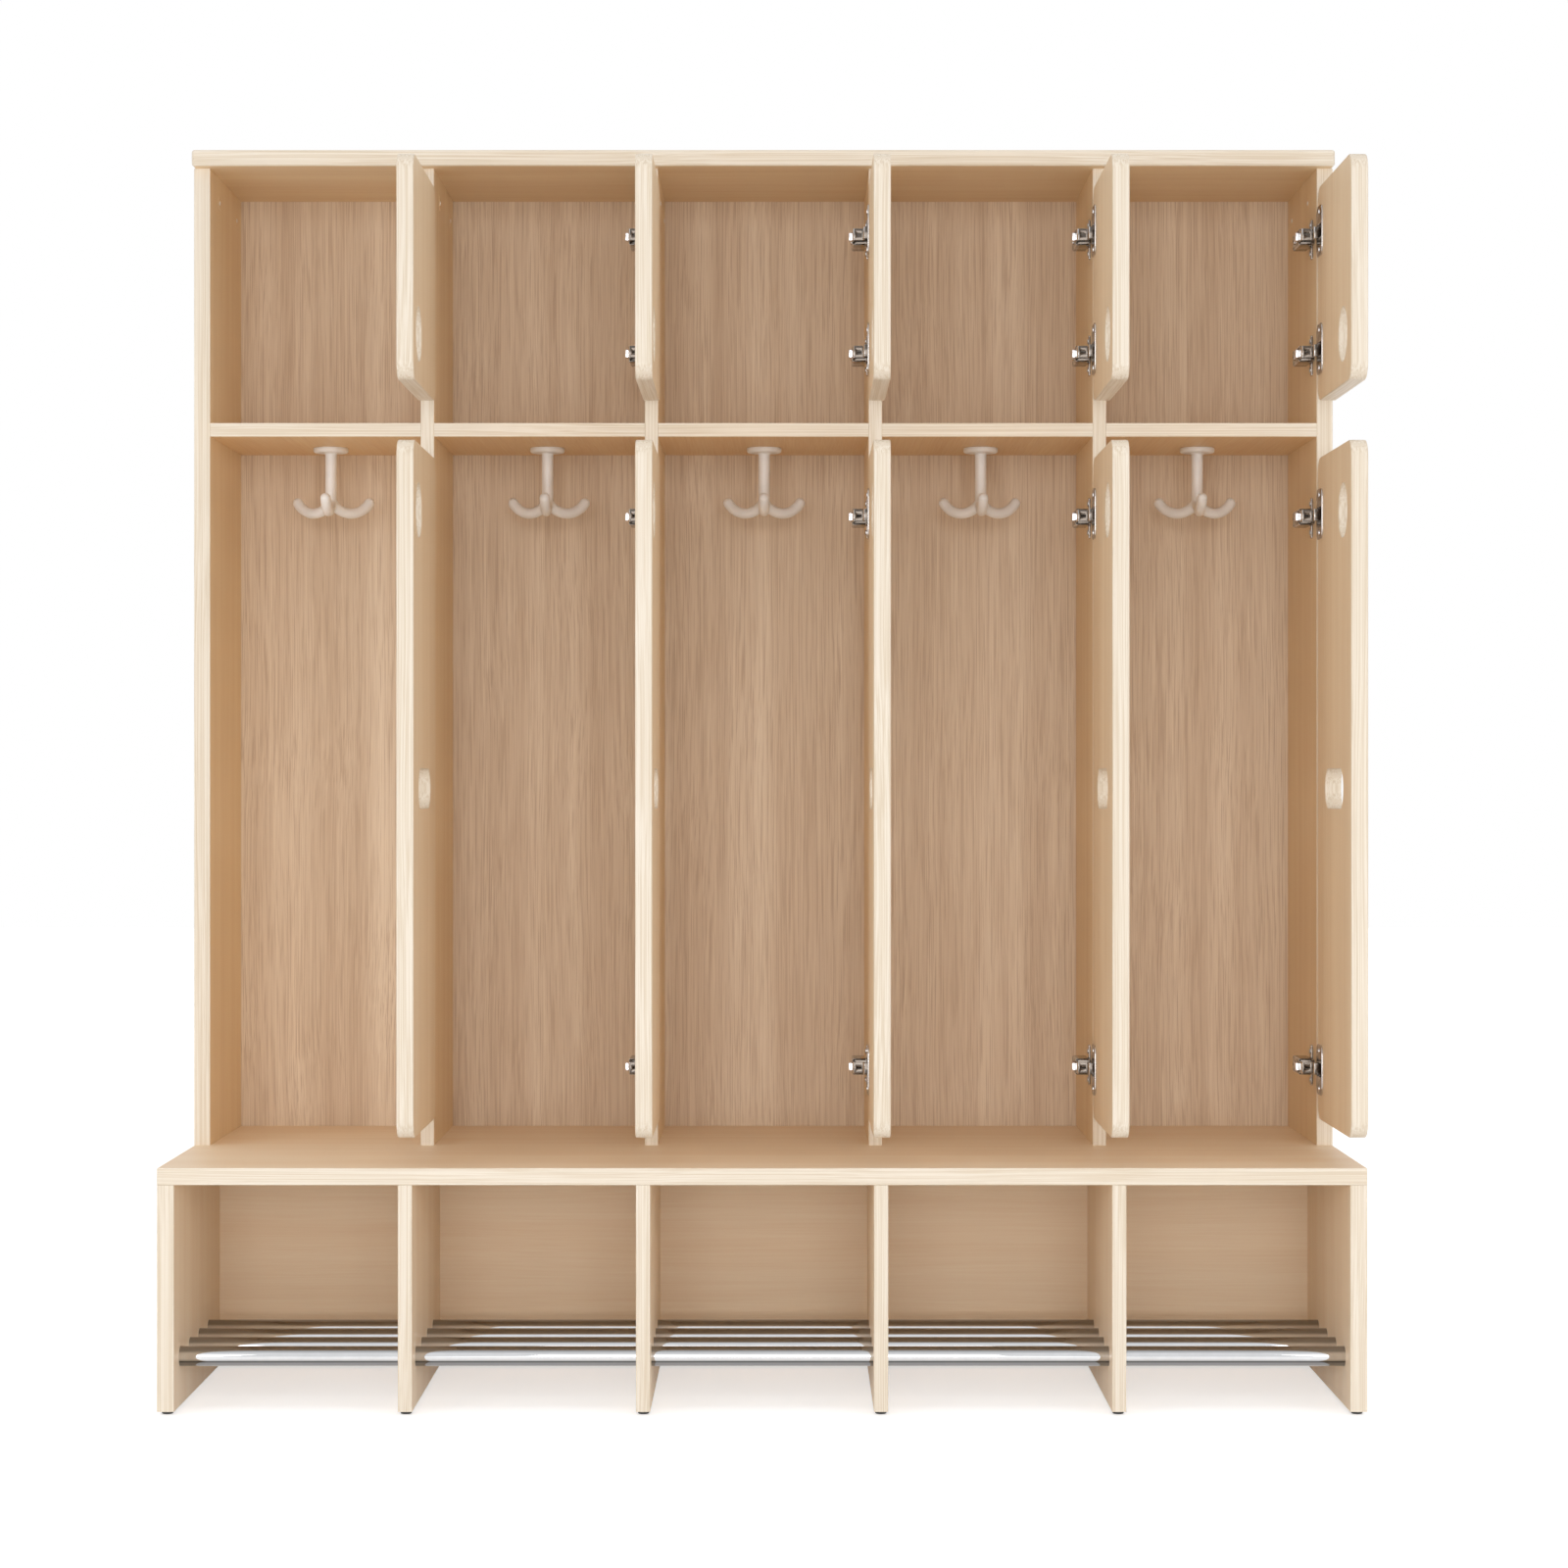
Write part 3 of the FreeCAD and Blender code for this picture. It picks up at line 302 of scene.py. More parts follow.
def select(piece, kind, wanted):
    """Enter edit mode and select the faces, edges or vertices that pass a test."""
    if bpy.context.view_layer.objects.active != piece or piece.mode != "EDIT":
        make_active(piece)
        bpy.ops.object.mode_set(mode="EDIT")
    bpy.ops.mesh.select_mode(type=kind)
    bpy.ops.mesh.select_all(action="DESELECT")
    shape = bmesh.from_edit_mesh(piece.data)
    for item in {"FACE": shape.faces, "EDGE": shape.edges, "VERT": shape.verts}[kind]:
        item.select_set(bool(wanted(item)))
    shape.select_flush_mode()
    bmesh.update_edit_mesh(piece.data)


def middle(item):
    """Middle of a face or an edge."""
    if isinstance(item, bmesh.types.BMFace):
        return item.calc_center_median()
    return (item.verts[0].co + item.verts[1].co) / 2


def bevel(piece, width, steps, wanted):
    """Round the edges that pass a test."""
    select(piece, "EDGE", wanted)
    bpy.ops.mesh.bevel(offset=width, segments=steps, profile=0.5, affect="EDGES", clamp_overlap=True)
    bpy.ops.object.mode_set(mode="OBJECT")


def apply_modifier(piece, kind, **settings):
    """Add a modifier and apply it."""
    make_active(piece)
    made = piece.modifiers.new(kind.title(), kind)
    for name, value in settings.items():
        setattr(made, name, value)
    bpy.ops.object.modifier_apply(modifier=made.name)
    return piece


def break_edges(piece, width):
    """Round every sharp edge a little and merge the points that come out too close."""
    apply_modifier(
        piece, "BEVEL", width=width, segments=2, limit_method="ANGLE", angle_limit=BREAK_ANGLE)
    select(piece, "VERT", lambda point: True)
    bpy.ops.mesh.remove_doubles(threshold=SLIVER)
    bpy.ops.mesh.dissolve_degenerate(threshold=SLIVER)
    clear_selection()
    return piece


def extrude(x, y, z):
    """Extrude the selected faces."""
    bpy.ops.mesh.extrude_region_move(TRANSFORM_OT_translate={"value": (x, y, z)})


def weld():
    """Merge the points of a spun shape, turn its faces outwards and leave edit mode."""
    bpy.ops.mesh.select_all(action="SELECT")
    bpy.ops.mesh.remove_doubles(threshold=TOUCH)
    bpy.ops.mesh.normals_make_consistent(inside=False)
    clear_selection()


def combine(piece, other, operation):
    """Join, cut or trim a piece with another one, which is used up."""
    apply_modifier(piece, "BOOLEAN", operation=operation, solver="EXACT", object=other)
    remove(other)


def join(name, pieces):
    """Join pieces into one object."""
    make_active(*pieces)
    if len(pieces) > 1:
        bpy.ops.object.join()
    joined = bpy.context.object
    joined.name = name
    joined.data.name = name
    return joined


def place_copy(pattern, name, offset, turn=0.0):
    """A copy of a pattern with its own mesh, turned about the upright axis and moved there."""
    piece = bpy.data.objects.new(name, pattern.data.copy())
    bpy.context.scene.collection.objects.link(piece)
    piece.data.transform(Matrix.Translation(Vector(offset)) @ Matrix.Rotation(turn, 4, "Z"))
    return piece


def smooth_shade(piece, degrees=35):
    """Shade the round surfaces smooth and keep the sharp edges."""
    make_active(piece)
    bpy.ops.object.shade_smooth_by_angle(angle=math.radians(degrees))
    clear_selection()


def finish_piece(piece, body, material, nodes=()):
    """Give a piece its finish, tie it to the body it moves with and hide the CAD nodes it stands for."""
    smooth_shade(piece)
    piece.data.materials.clear()
    piece.data.materials.append(material)
    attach(piece, body)
    if nodes:
        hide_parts(*nodes)


def remove(piece):
    """Remove a pattern or a cutter that has done its work."""
    bpy.data.objects.remove(piece)


# Node groups that several finishes share

# Stretch of the grain's slow drift, of its hair lines and of its broad bands
DRIFT_STRETCH, HAIR_STRETCH, BAND_STRETCH = (9.0, 9.0, 2.2), (2.6, 2.6, 1.7), (0.085, 0.085, 0.16)
DRIFT_REACH, STREAK_ROUGHNESS, HAIR_SHARE, BAND_SHARE = 0.016, 0.62, 0.35, 0.45

# Haze and rub marks on plating, and moulded plastic
CLOUD_SCALE, CLOUD_ROUGHNESS, HAZE_MIDDLE = 55.0, 0.6, 0.45
RUB_STRETCH, RUB_SHARE = (30.0, 900.0, 900.0), 0.4
SKIN_SLOW_SCALE, SKIN_FINE_SCALE, SKIN_SWING = 38.0, 2600.0, 0.14

# Ranges of a value that become 0 and 1
TONE_RANGE, LINE_RANGE, HEIGHT_RANGE, CLOUD_RANGE = (0.34, 0.66), (0.38, 0.60), (0.35, 0.75), (0.3, 0.7)
# The last value here ends the hinges' painted corner highlight
EDGE_RANGE, END_RANGE, PAINTED_HIGHLIGHT_END = (0.97, 0.90), (0.6, 0.75), 0.90
# Facing ranges of the rails' painted reflection: dark crown, dark underside and thin dark line
PAINTED_CROWN_RANGE, PAINTED_UNDER_RANGE, PAINTED_LINE_RANGE = (0.40, 0.62), (-0.17, -0.38), (0.085, 0.045)


def add_node(tree, kind, inputs=None, **settings):
    """A node with its settings, and each input's link or plain value."""
    made = tree.nodes.new(kind)
    for name, value in settings.items():
        setattr(made, name, value)
    for socket, value in (inputs or {}).items():
        if isinstance(value, bpy.types.NodeSocket):
            tree.links.new(value, made.inputs[socket])
        else:
            made.inputs[socket].default_value = value
    return made


def math_node(tree, operation, *values):
    """Result of one sum."""
    return add_node(tree, "ShaderNodeMath", dict(enumerate(values)), operation=operation).outputs[0]


def stretched(tree, vector, scale):
    """Coordinates stretched by a factor along each axis."""
    made = add_node(tree, "ShaderNodeVectorMath", {0: vector, 1: scale}, operation="MULTIPLY")
    return made.outputs[0]


def noise(tree, vector, scale, detail=2.0, rough=0.5):
    """A soft noise value over some coordinates."""
    made = add_node(
        tree, "ShaderNodeTexNoise",
        {"Vector": vector, "Scale": scale, "Detail": detail, "Roughness": rough})
    return made.outputs["Fac"]


def spread(tree, value, low, high, to_low=0.0, to_high=1.0):
    """A value's range stretched to another range."""
    made = add_node(
        tree, "ShaderNodeMapRange",
        {"Value": value, "From Min": low, "From Max": high, "To Min": to_low, "To Max": to_high})
    return made.outputs["Result"]


def blend(tree, first, second, share):
    """Two values added up, with the second one's share of the sum."""
    return math_node(
        tree, "MULTIPLY_ADD", second, share, math_node(tree, "MULTIPLY", first, 1 - share))


def mix_colour(tree, factor, first, second):
    """Two colours mixed by a factor."""
    made = add_node(tree, "ShaderNodeMix", {0: factor, 6: first, 7: second}, data_type="RGBA")
    return made.outputs[2]


def new_group(name, inputs, outputs):
    """An empty node group with named sockets, and its input and output nodes."""
    tree = bpy.data.node_groups.new(name, "ShaderNodeTree")
    for socket, kind in inputs:
        tree.interface.new_socket(socket, in_out="INPUT", socket_type=f"NodeSocket{kind}")
    for socket, kind in outputs:
        tree.interface.new_socket(socket, in_out="OUTPUT", socket_type=f"NodeSocket{kind}")
    return tree, tree.nodes.new("NodeGroupInput").outputs, tree.nodes.new("NodeGroupOutput").inputs


def put(tree, value, target):
    """Link a value to a shader's input or a group's output."""
    tree.links.new(value, target)


def surface_normal(tree):
    """The way that a surface faces, in the piece's own frame."""
    return add_node(tree, "ShaderNodeTexCoord").outputs["Normal"]


def add_bump(tree, shader, height, strength, distance):
    """Fine relief on a shader from a height value."""
    bump = add_node(
        tree, "ShaderNodeBump", {"Strength": strength, "Distance": distance, "Height": height})
    put(tree, bump.outputs[0], shader.inputs["Normal"])


def make_grain_group():
    """Straight fine grain along Z: streaks, hair lines and slow bands."""
    tree, given, result = new_group(
        "Straight grain",
        [("Vector", "Vector"), ("Streak Width", "Float"), ("Streak Length", "Float")],
        [("Tone", "Float"), ("Line", "Float"), ("Height", "Float")])
    across = math_node(tree, "DIVIDE", 1.0, given["Streak Width"])
    along = math_node(tree, "DIVIDE", 1.0, given["Streak Length"])
    stretch = add_node(tree, "ShaderNodeCombineXYZ", {0: across, 1: across, 2: along}).outputs[0]
    drift = noise(tree, stretched(tree, given["Vector"], DRIFT_STRETCH), 1.0, 1.0)
    drift = math_node(tree, "MULTIPLY", math_node(tree, "SUBTRACT", drift, 0.5), DRIFT_REACH)
    shift = add_node(tree, "ShaderNodeCombineXYZ", {0: drift, 1: drift, 2: 0.0}).outputs[0]
    wavy = add_node(
        tree, "ShaderNodeVectorMath", {0: given["Vector"], 1: shift}, operation="ADD").outputs[0]
    course = stretched(tree, wavy, stretch)
    streak = noise(tree, course, 1.0, 3.0, STREAK_ROUGHNESS)
    hair = noise(tree, stretched(tree, course, HAIR_STRETCH), 1.0, 1.0)
    band = noise(tree, stretched(tree, course, BAND_STRETCH), 1.0, 2.0)
    tone = blend(tree, blend(tree, streak, hair, HAIR_SHARE), band, BAND_SHARE)
    put(tree, spread(tree, tone, *TONE_RANGE), result["Tone"])
    put(tree, spread(tree, streak, *LINE_RANGE), result["Line"])
    put(tree, spread(tree, hair, *HEIGHT_RANGE), result["Height"])
    return tree


def make_edge_group():
    """Where a board or plate shows its edge instead of its face, and where that edge crosses the grain."""
    tree, given, result = new_group(
        "Face and edge", [("Face Axis", "Vector"), ("Grain Axis", "Vector")],
        [("Edge", "Float"), ("End", "Float")])
    normal = surface_normal(tree)
    for axis, limits, name in (("Face Axis", EDGE_RANGE, "Edge"), ("Grain Axis", END_RANGE, "End")):
        facing = add_node(
            tree, "ShaderNodeVectorMath", {0: normal, 1: given[axis]}, operation="DOT_PRODUCT")
        facing = math_node(tree, "ABSOLUTE", facing.outputs["Value"])
        put(tree, spread(tree, facing, *limits), result[name])
    return tree


def make_painted_highlight_group():
    """Mask for a painted highlight where a pressing turns a corner, so that its normal lies along no axis.
    """
    tree, given, result = new_group("Corner shine", [("Sharpness", "Float")], [("Corner", "Float")])
    normal = surface_normal(tree)
    size = add_node(tree, "ShaderNodeVectorMath", {0: normal}, operation="ABSOLUTE").outputs[0]
    parts = add_node(tree, "ShaderNodeSeparateXYZ", {0: size}).outputs
    largest = math_node(tree, "MAXIMUM", parts[0], math_node(tree, "MAXIMUM", parts[1], parts[2]))
    put(tree, spread(tree, largest, given["Sharpness"], PAINTED_HIGHLIGHT_END), result["Corner"])
    return tree


def make_painted_reflection_group():
    """Masks for a painted reflection round a level tube: a dark crown for the mirrored seat, a dark
    underside for the mirrored shaded floor, and a thin dark line along that.
    """
    tree, given, result = new_group(
        "Tube bands", [("Line Height", "Float")],
        [("Crown", "Float"), ("Under", "Float"), ("Line", "Float")])
    normal = surface_normal(tree)
    rise = add_node(tree, "ShaderNodeSeparateXYZ", {0: normal}).outputs["Z"]
    put(tree, spread(tree, rise, *PAINTED_CROWN_RANGE), result["Crown"])
    put(tree, spread(tree, rise, *PAINTED_UNDER_RANGE), result["Under"])
    away = math_node(tree, "ABSOLUTE", math_node(tree, "SUBTRACT", rise, given["Line Height"]))
    put(tree, spread(tree, away, *PAINTED_LINE_RANGE), result["Line"])
    return tree


def make_plating_group():
    """Faint haze and rub marks on plated metal."""
    tree, given, result = new_group(
        "Plating haze", [("Vector", "Vector"), ("Roughness", "Float"), ("Haze", "Float")],
        [("Roughness", "Float"), ("Shade", "Float")])
    cloud = noise(tree, given["Vector"], CLOUD_SCALE, 3.0, CLOUD_ROUGHNESS)
    rub = noise(tree, stretched(tree, given["Vector"], RUB_STRETCH), 1.0, 2.0)
    both = blend(tree, cloud, rub, RUB_SHARE)
    swing = math_node(tree, "MULTIPLY", math_node(tree, "SUBTRACT", both, HAZE_MIDDLE), given["Haze"])
    put(tree, math_node(tree, "ADD", given["Roughness"], swing), result["Roughness"])
    put(tree, spread(tree, both, *CLOUD_RANGE), result["Shade"])
    return tree


def make_moulded_group():
    """Fine texture and slow tone changes of moulded plastic."""
    tree, given, result = new_group(
        "Moulded skin", [("Vector", "Vector"), ("Roughness", "Float")],
        [("Tone", "Float"), ("Roughness", "Float"), ("Height", "Float")])
    slow = noise(tree, given["Vector"], SKIN_SLOW_SCALE, 2.0)
    fine = noise(tree, given["Vector"], SKIN_FINE_SCALE, 2.0)
    put(tree, spread(tree, slow, *CLOUD_RANGE), result["Tone"])
    swing = math_node(tree, "MULTIPLY", math_node(tree, "SUBTRACT", slow, 0.5), SKIN_SWING)
    put(tree, math_node(tree, "ADD", given["Roughness"], swing), result["Roughness"])
    put(tree, fine, result["Height"])
    return tree


def group_node(tree, name, make, inputs):
    """Place a shared group, which is built the first time that it is asked for."""
    group = bpy.data.node_groups.get(name) or make()
    return add_node(tree, "ShaderNodeGroup", inputs, node_tree=group).outputs


# Finishes

def new_material(name):
    """An empty material with a Principled shader, and its coordinates."""
    material = bpy.data.materials.get(name)
    if material:
        return material, None, None, None
    material = bpy.data.materials.new(name)
    material.use_nodes = True
    tree = material.node_tree
    shader = tree.nodes["Principled BSDF"]
    return material, tree, shader, add_node(tree, "ShaderNodeTexCoord").outputs["Object"]


def rgba(base):
    """A colour with full alpha."""
    return (*base, 1.0)


def shade(base, factor):
    """A colour made lighter or darker."""
    return (*(min(1.0, part * factor) for part in base), 1.0)


def shaded(tree, factor, base, shades):
    """A colour that a factor moves between its darkest and its palest shade."""
    return mix_colour(tree, factor, *(shade(base, share) for share in shades))


def turned(tree, vector, turn):
    """Coordinates turned so that the grain runs along Z."""
    made = add_node(tree, "ShaderNodeMapping", {"Vector": vector, "Rotation": turn})
    return made.outputs[0]


GRAIN_TURNS = {"X": (0, math.pi / 2, 0), "Y": (math.pi / 2, 0, 0), "Z": (0, 0, 0)}
AXES = {"X": (1, 0, 0), "Y": (0, 1, 0), "Z": (0, 0, 1)}
BOARD_SHEEN = 0.25

# Roughness where the grain lies low and high, and strength and depth of the relief
BOARD_ROUGHNESS, SHEET_ROUGHNESS = (0.50, 0.40), (0.58, 0.46)
BOARD_BUMP, SHEET_BUMP, SKIN_BUMP = (0.12, 0.0002), (0.15, 0.0003), (0.06, 0.0001)

# Darkest and palest shade of a finish, as shares of its colour. The middle pair is for the painted shade
# on the hinges' faces and fronts.
PLATING_SHADES, PAINTED_SHADE_TONES, SKIN_SHADES = (0.92, 1.05), (0.85, 1.12), (0.95, 1.03)

# The back sheet's grain against the boards', and how far its pores show
SHEET_STREAK_WIDTH, SHEET_STREAK_LENGTH, PORE_SHOW = 0.75, 1.3, 0.55

# Shares of the rails' colour in their painted reflection of the seat and the shaded floor, and how far
# down the thin painted line faces
RAIL_PAINTED_REFLECTION = {"Crown": 0.5, "Under": 0.42, "Line": 0.12}
RAIL_PAINTED_LINE_HEIGHT = -0.44
# How near an axis a hinge's normal must lie to lose the painted corner highlight
PAINTED_HIGHLIGHT_SHARPNESS = 0.985


def board_material(name, pale, dark, face, grain, band_grain):
    """Maple board: faces with their grain along one axis, and a pale band on the edges."""
    material, tree, shader, place = new_material(name)
    if tree is None:
        return material
    look = bpy.context.scene.bench_finishes
    across = ({"X", "Y", "Z"} - {face, band_grain}).pop()
    edge = group_node(
        tree, "Face and edge", make_edge_group, {"Face Axis": AXES[face], "Grain Axis": AXES[band_grain]})
    sizes = {"Streak Width": look.streak_width, "Streak Length": look.streak_length}
    faces = group_node(
        tree, "Straight grain", make_grain_group,
        {"Vector": turned(tree, place, GRAIN_TURNS[grain]), **sizes})
    band_place = add_node(
        tree, "ShaderNodeMix",
        {0: edge["End"], 4: turned(tree, place, GRAIN_TURNS[band_grain]),
         5: turned(tree, place, GRAIN_TURNS[across])},
        data_type="VECTOR").outputs[1]
    bands = group_node(
        tree, "Straight grain", make_grain_group,
        {"Vector": band_place, "Streak Width": look.line_width, "Streak Length": look.line_length})
    face_colour = mix_colour(tree, faces["Tone"], rgba(dark), rgba(pale))
    band_colour = mix_colour(tree, bands["Line"], rgba(look.band_dark), rgba(look.band_pale))
    board_colour = mix_colour(tree, edge["Edge"], face_colour, band_colour)
    put(tree, board_colour, shader.inputs["Base Color"])
    put(tree, spread(tree, faces["Height"], 0.0, 1.0, *BOARD_ROUGHNESS), shader.inputs["Roughness"])
    add_bump(tree, shader, faces["Height"], *BOARD_BUMP)
    shader.inputs["Specular IOR Level"].default_value = BOARD_SHEEN
    return material


def wood_material(name, pale, dark, grain, pore=None):
    """Wood with straight grain all over, for the back sheet and the dowels."""
    material, tree, shader, place = new_material(name)
    if tree is None:
        return material
    look = bpy.context.scene.bench_finishes
    grains = group_node(
        tree, "Straight grain", make_grain_group,
        {"Vector": turned(tree, place, GRAIN_TURNS[grain]),
         "Streak Width": look.streak_width * SHEET_STREAK_WIDTH,
         "Streak Length": look.streak_length * SHEET_STREAK_LENGTH})
    grain_colour = mix_colour(tree, grains["Tone"], rgba(dark), rgba(pale))
    if pore:
        pores = group_node(
            tree, "Straight grain", make_grain_group,
            {"Vector": turned(tree, place, GRAIN_TURNS[grain]), "Streak Width": look.pore_width,
             "Streak Length": look.pore_length})
        shown = spread(tree, pores["Line"], PORE_SHOW, 0.0, 0.0, PORE_SHOW)
        grain_colour = mix_colour(tree, shown, grain_colour, rgba(pore))
    put(tree, grain_colour, shader.inputs["Base Color"])
    put(tree, spread(tree, grains["Height"], 0.0, 1.0, *SHEET_ROUGHNESS), shader.inputs["Roughness"])
    add_bump(tree, shader, grains["Height"], *SHEET_BUMP)
    shader.inputs["Specular IOR Level"].default_value = BOARD_SHEEN
    return material


def metal_material(name, base, rough, haze, faces=None, painted_flat=None, bands=None):
    """Plated metal with a little haze. Painted shade can darken its faces or its flats across one axis,
    with the corners left bright as a painted highlight, and a painted reflection can band a tube.
    """
    material, tree, shader, place = new_material(name)
    if tree is None:
        return material
    plating = group_node(
        tree, "Plating haze", make_plating_group, {"Vector": place, "Roughness": rough, "Haze": haze})
    tint = shaded(tree, plating["Shade"], base, PLATING_SHADES)
    # Painted shade on faces that lie along an axis, with corners left bright as a painted highlight
    if faces:
        painted_highlight = group_node(tree, "Corner shine", make_painted_highlight_group, {"Sharpness": PAINTED_HIGHLIGHT_SHARPNESS})
        painted_shade = shaded(tree, plating["Shade"], faces, PAINTED_SHADE_TONES)
        tint = mix_colour(tree, painted_highlight["Corner"], painted_shade, tint)
    # Painted shade on the flats across one axis
    if painted_flat:
        axis, painted_flat_colour = painted_flat
        axes = {"Face Axis": AXES[axis], "Grain Axis": AXES["Z"]}
        beside = group_node(tree, "Face and edge", make_edge_group, axes)["Edge"]
        painted_shade = shaded(tree, plating["Shade"], painted_flat_colour, PAINTED_SHADE_TONES)
        tint = mix_colour(tree, beside, painted_shade, tint)
    # Painted reflection: darker bands where a tube would mirror the seat and the shaded floor
    if bands:
        tube = group_node(tree, "Tube bands", make_painted_reflection_group, {"Line Height": RAIL_PAINTED_LINE_HEIGHT})
        for band, share in bands.items():
            tint = mix_colour(tree, tube[band], tint, shade(base, share))
    put(tree, tint, shader.inputs["Base Color"])
    put(tree, plating["Roughness"], shader.inputs["Roughness"])
    shader.inputs["Metallic"].default_value = 1.0
    return material


def rail_material():
    """Polished chrome of the shoe rails, with painted reflection: dark bands of a shaded floor and seat
    painted into its colour.
    """
    chrome = bpy.context.scene.bench_finishes.chrome
    return metal_material("Rail chrome", chrome, rough=0.035, haze=0.03, bands=RAIL_PAINTED_REFLECTION)


def plastic_material(name, base, rough):
    """Moulded plastic."""
    material, tree, shader, place = new_material(name)
    if tree is None:
        return material
    skin = group_node(
        tree, "Moulded skin", make_moulded_group, {"Vector": place, "Roughness": rough})
    tint = shaded(tree, skin["Tone"], base, SKIN_SHADES)
    put(tree, tint, shader.inputs["Base Color"])
    put(tree, skin["Roughness"], shader.inputs["Roughness"])
    add_bump(tree, shader, skin["Height"], *SKIN_BUMP)
    return material


def flange_material():
    """Nickel on the hinges' cups: painted shade on the faces across X, and the edges left bright as a
    painted highlight.
    """
    look = bpy.context.scene.bench_finishes
    painted_shade_flats = ("X", look.nickel_painted_shade_face)
    return metal_material("Hinge flange", look.nickel, rough=0.18, haze=0.10, painted_flat=painted_shade_flats)


def arm_material():
    """Nickel on the hinges' arms and plates: painted shade on the faces, darker painted shade on the
    fronts, and the corners left bright as a painted highlight.
    """
    look = bpy.context.scene.bench_finishes
    painted_shade_fronts = ("Y", look.nickel_painted_shade_front)
    return metal_material(
        "Hinge arm", look.nickel, rough=0.16, haze=0.10, faces=look.nickel_painted_shade_face, painted_flat=painted_shade_fronts)


def zinc_material():
    """Zinc on screws, bolts and cam locks."""
    return metal_material("Fastener zinc", bpy.context.scene.bench_finishes.zinc, rough=0.34, haze=0.24)


def hook_material():
    """Off-white plastic of the hooks."""
    return plastic_material("Hook plastic", bpy.context.scene.bench_finishes.hook_plastic, rough=0.34)


def paint(node, material):
    """Give a CAD node its finish."""
    item = frame["nodes"][node]
    if not item.material_slots:
        item.data.materials.append(material)
    for slot in item.material_slots:
        slot.material = material


# Operators, one for each piece or group of like pieces

class BENCH_OT_finish_boards(bpy.types.Operator):
    """Give the boards and doors their maple finish"""

    bl_idname = "bench.finish_boards"
    bl_label = "Finish boards and doors"

    def execute(self, context):
        look = context.scene.bench_finishes
        upright = board_material("Maple upright", look.face_pale, look.face_dark, "X", "Z", "Z")
        # The seat's maple carries painted light for the lit seat top, and the infill and legs share it
        seat = (look.seat_pale_painted_light, look.seat_dark_painted_light)
        leg = board_material("Maple leg", *seat, "X", "Z", "Z")
        for name in UPRIGHTS:
            paint(f"cabinet_{name}", upright)
            paint(f"bench_{name}", leg)
        paint("bench_seat", board_material("Maple seat", *seat, "Z", "X", "X"))
        paint("bench_back_panels", board_material("Maple infill", *seat, "Y", "X", "X"))
        paint("top_board", board_material("Maple top", look.face_pale, look.face_dark, "Z", "X", "X"))
        # The shelves' maple carries painted shade for their undersides
        shelf = board_material("Maple shelf", look.shelf_pale_painted_shade, look.shelf_dark_painted_shade, "Z", "Y", "X")
        door = board_material("Maple door", look.door_pale, look.door_dark, "X", "Z", "Z")
        for bay in range(1, BAYS + 1):
            paint(f"cabinet_shelf_{bay}", shelf)
            paint(f"upper_door_{bay}", door)
            paint(f"tall_door_{bay}", door)
        back = wood_material("Maple back sheet", look.back_pale, look.back_dark, "Z", look.back_pore)
        paint("cabinet_back_panel", back)
        paint("dowels", wood_material("Dowel beech", look.dowel_pale, look.dowel_dark, "X"))
        return {"FINISHED"}


class BENCH_OT_finish_fasteners(bpy.types.Operator):
    """Give the hidden bolts, studs, pins and cam locks their zinc finish"""

    bl_idname = "bench.finish_fasteners"
    bl_label = "Finish hidden fasteners"

    def execute(self, context):
        for name in ("cam_locks", "cam_bolts", "hook_studs", "hinge_pins"):
            paint(name, zinc_material())
        return {"FINISHED"}


class BENCH_OT_make_coat_hooks(bpy.types.Operator):
    """Model the moulded three-pronged hooks under the shelves"""

    bl_idname = "bench.make_coat_hooks"
    bl_label = "Make coat hooks"

    def execute(self, context):
        sizes = context.scene.bench_fittings
        pattern = hook_pattern(sizes)
        for bay in range(1, BAYS + 1):
            place = ((bay_left(bay) + bay_right(bay)) / 2, HOOK_MIDDLE_Y, SHELF_UNDERSIDE)
            hook = place_copy(pattern, f"moulded_hook_{bay}", place)
            finish_piece(hook, "carcass", hook_material(), [f"coat_hook_{bay}"])
        remove(pattern)
        return {"FINISHED"}


def hook_pattern(sizes):
    """One hook, drawn under a point on the shelf's underside."""
    flange = start_round(
        "hook_flange", sizes.hook_flange, (0, 0, -sizes.hook_flange_height), sizes.hook_flange_height,
        sides=64)
    bevel(flange, HOOK_FLANGE_ROUND, 4, lambda edge: middle(edge).z < -sizes.hook_flange_height + TOUCH)
    root_rise = sizes.prong_bend * (1 - math.cos(sizes.prong_root))
    stem_length = sizes.hook_drop - root_rise + sizes.prong_radius
    stem = start_round("hook_stem", sizes.hook_stem, (0, 0, -stem_length), stem_length, sides=40)
    bevel(stem, HOOK_STEM_ROUND, 4, lambda edge: middle(edge).z < -stem_length + TOUCH)
    pieces = [flange, stem]
    prong = prong_pattern(sizes)
    for number in range(sizes.prongs):
        turn = 2 * math.pi * number / sizes.prongs - math.pi / 2
        pieces.append(place_copy(prong, f"prong_{number + 1}", (0, 0, 0), turn))
    remove(prong)
    hook = join("hook_pattern", pieces)
    apply_modifier(hook, "REMESH", mode="VOXEL", voxel_size=HOOK_VOXEL, use_smooth_shade=True)
    apply_modifier(hook, "SMOOTH", factor=0.5, iterations=6)
    return hook


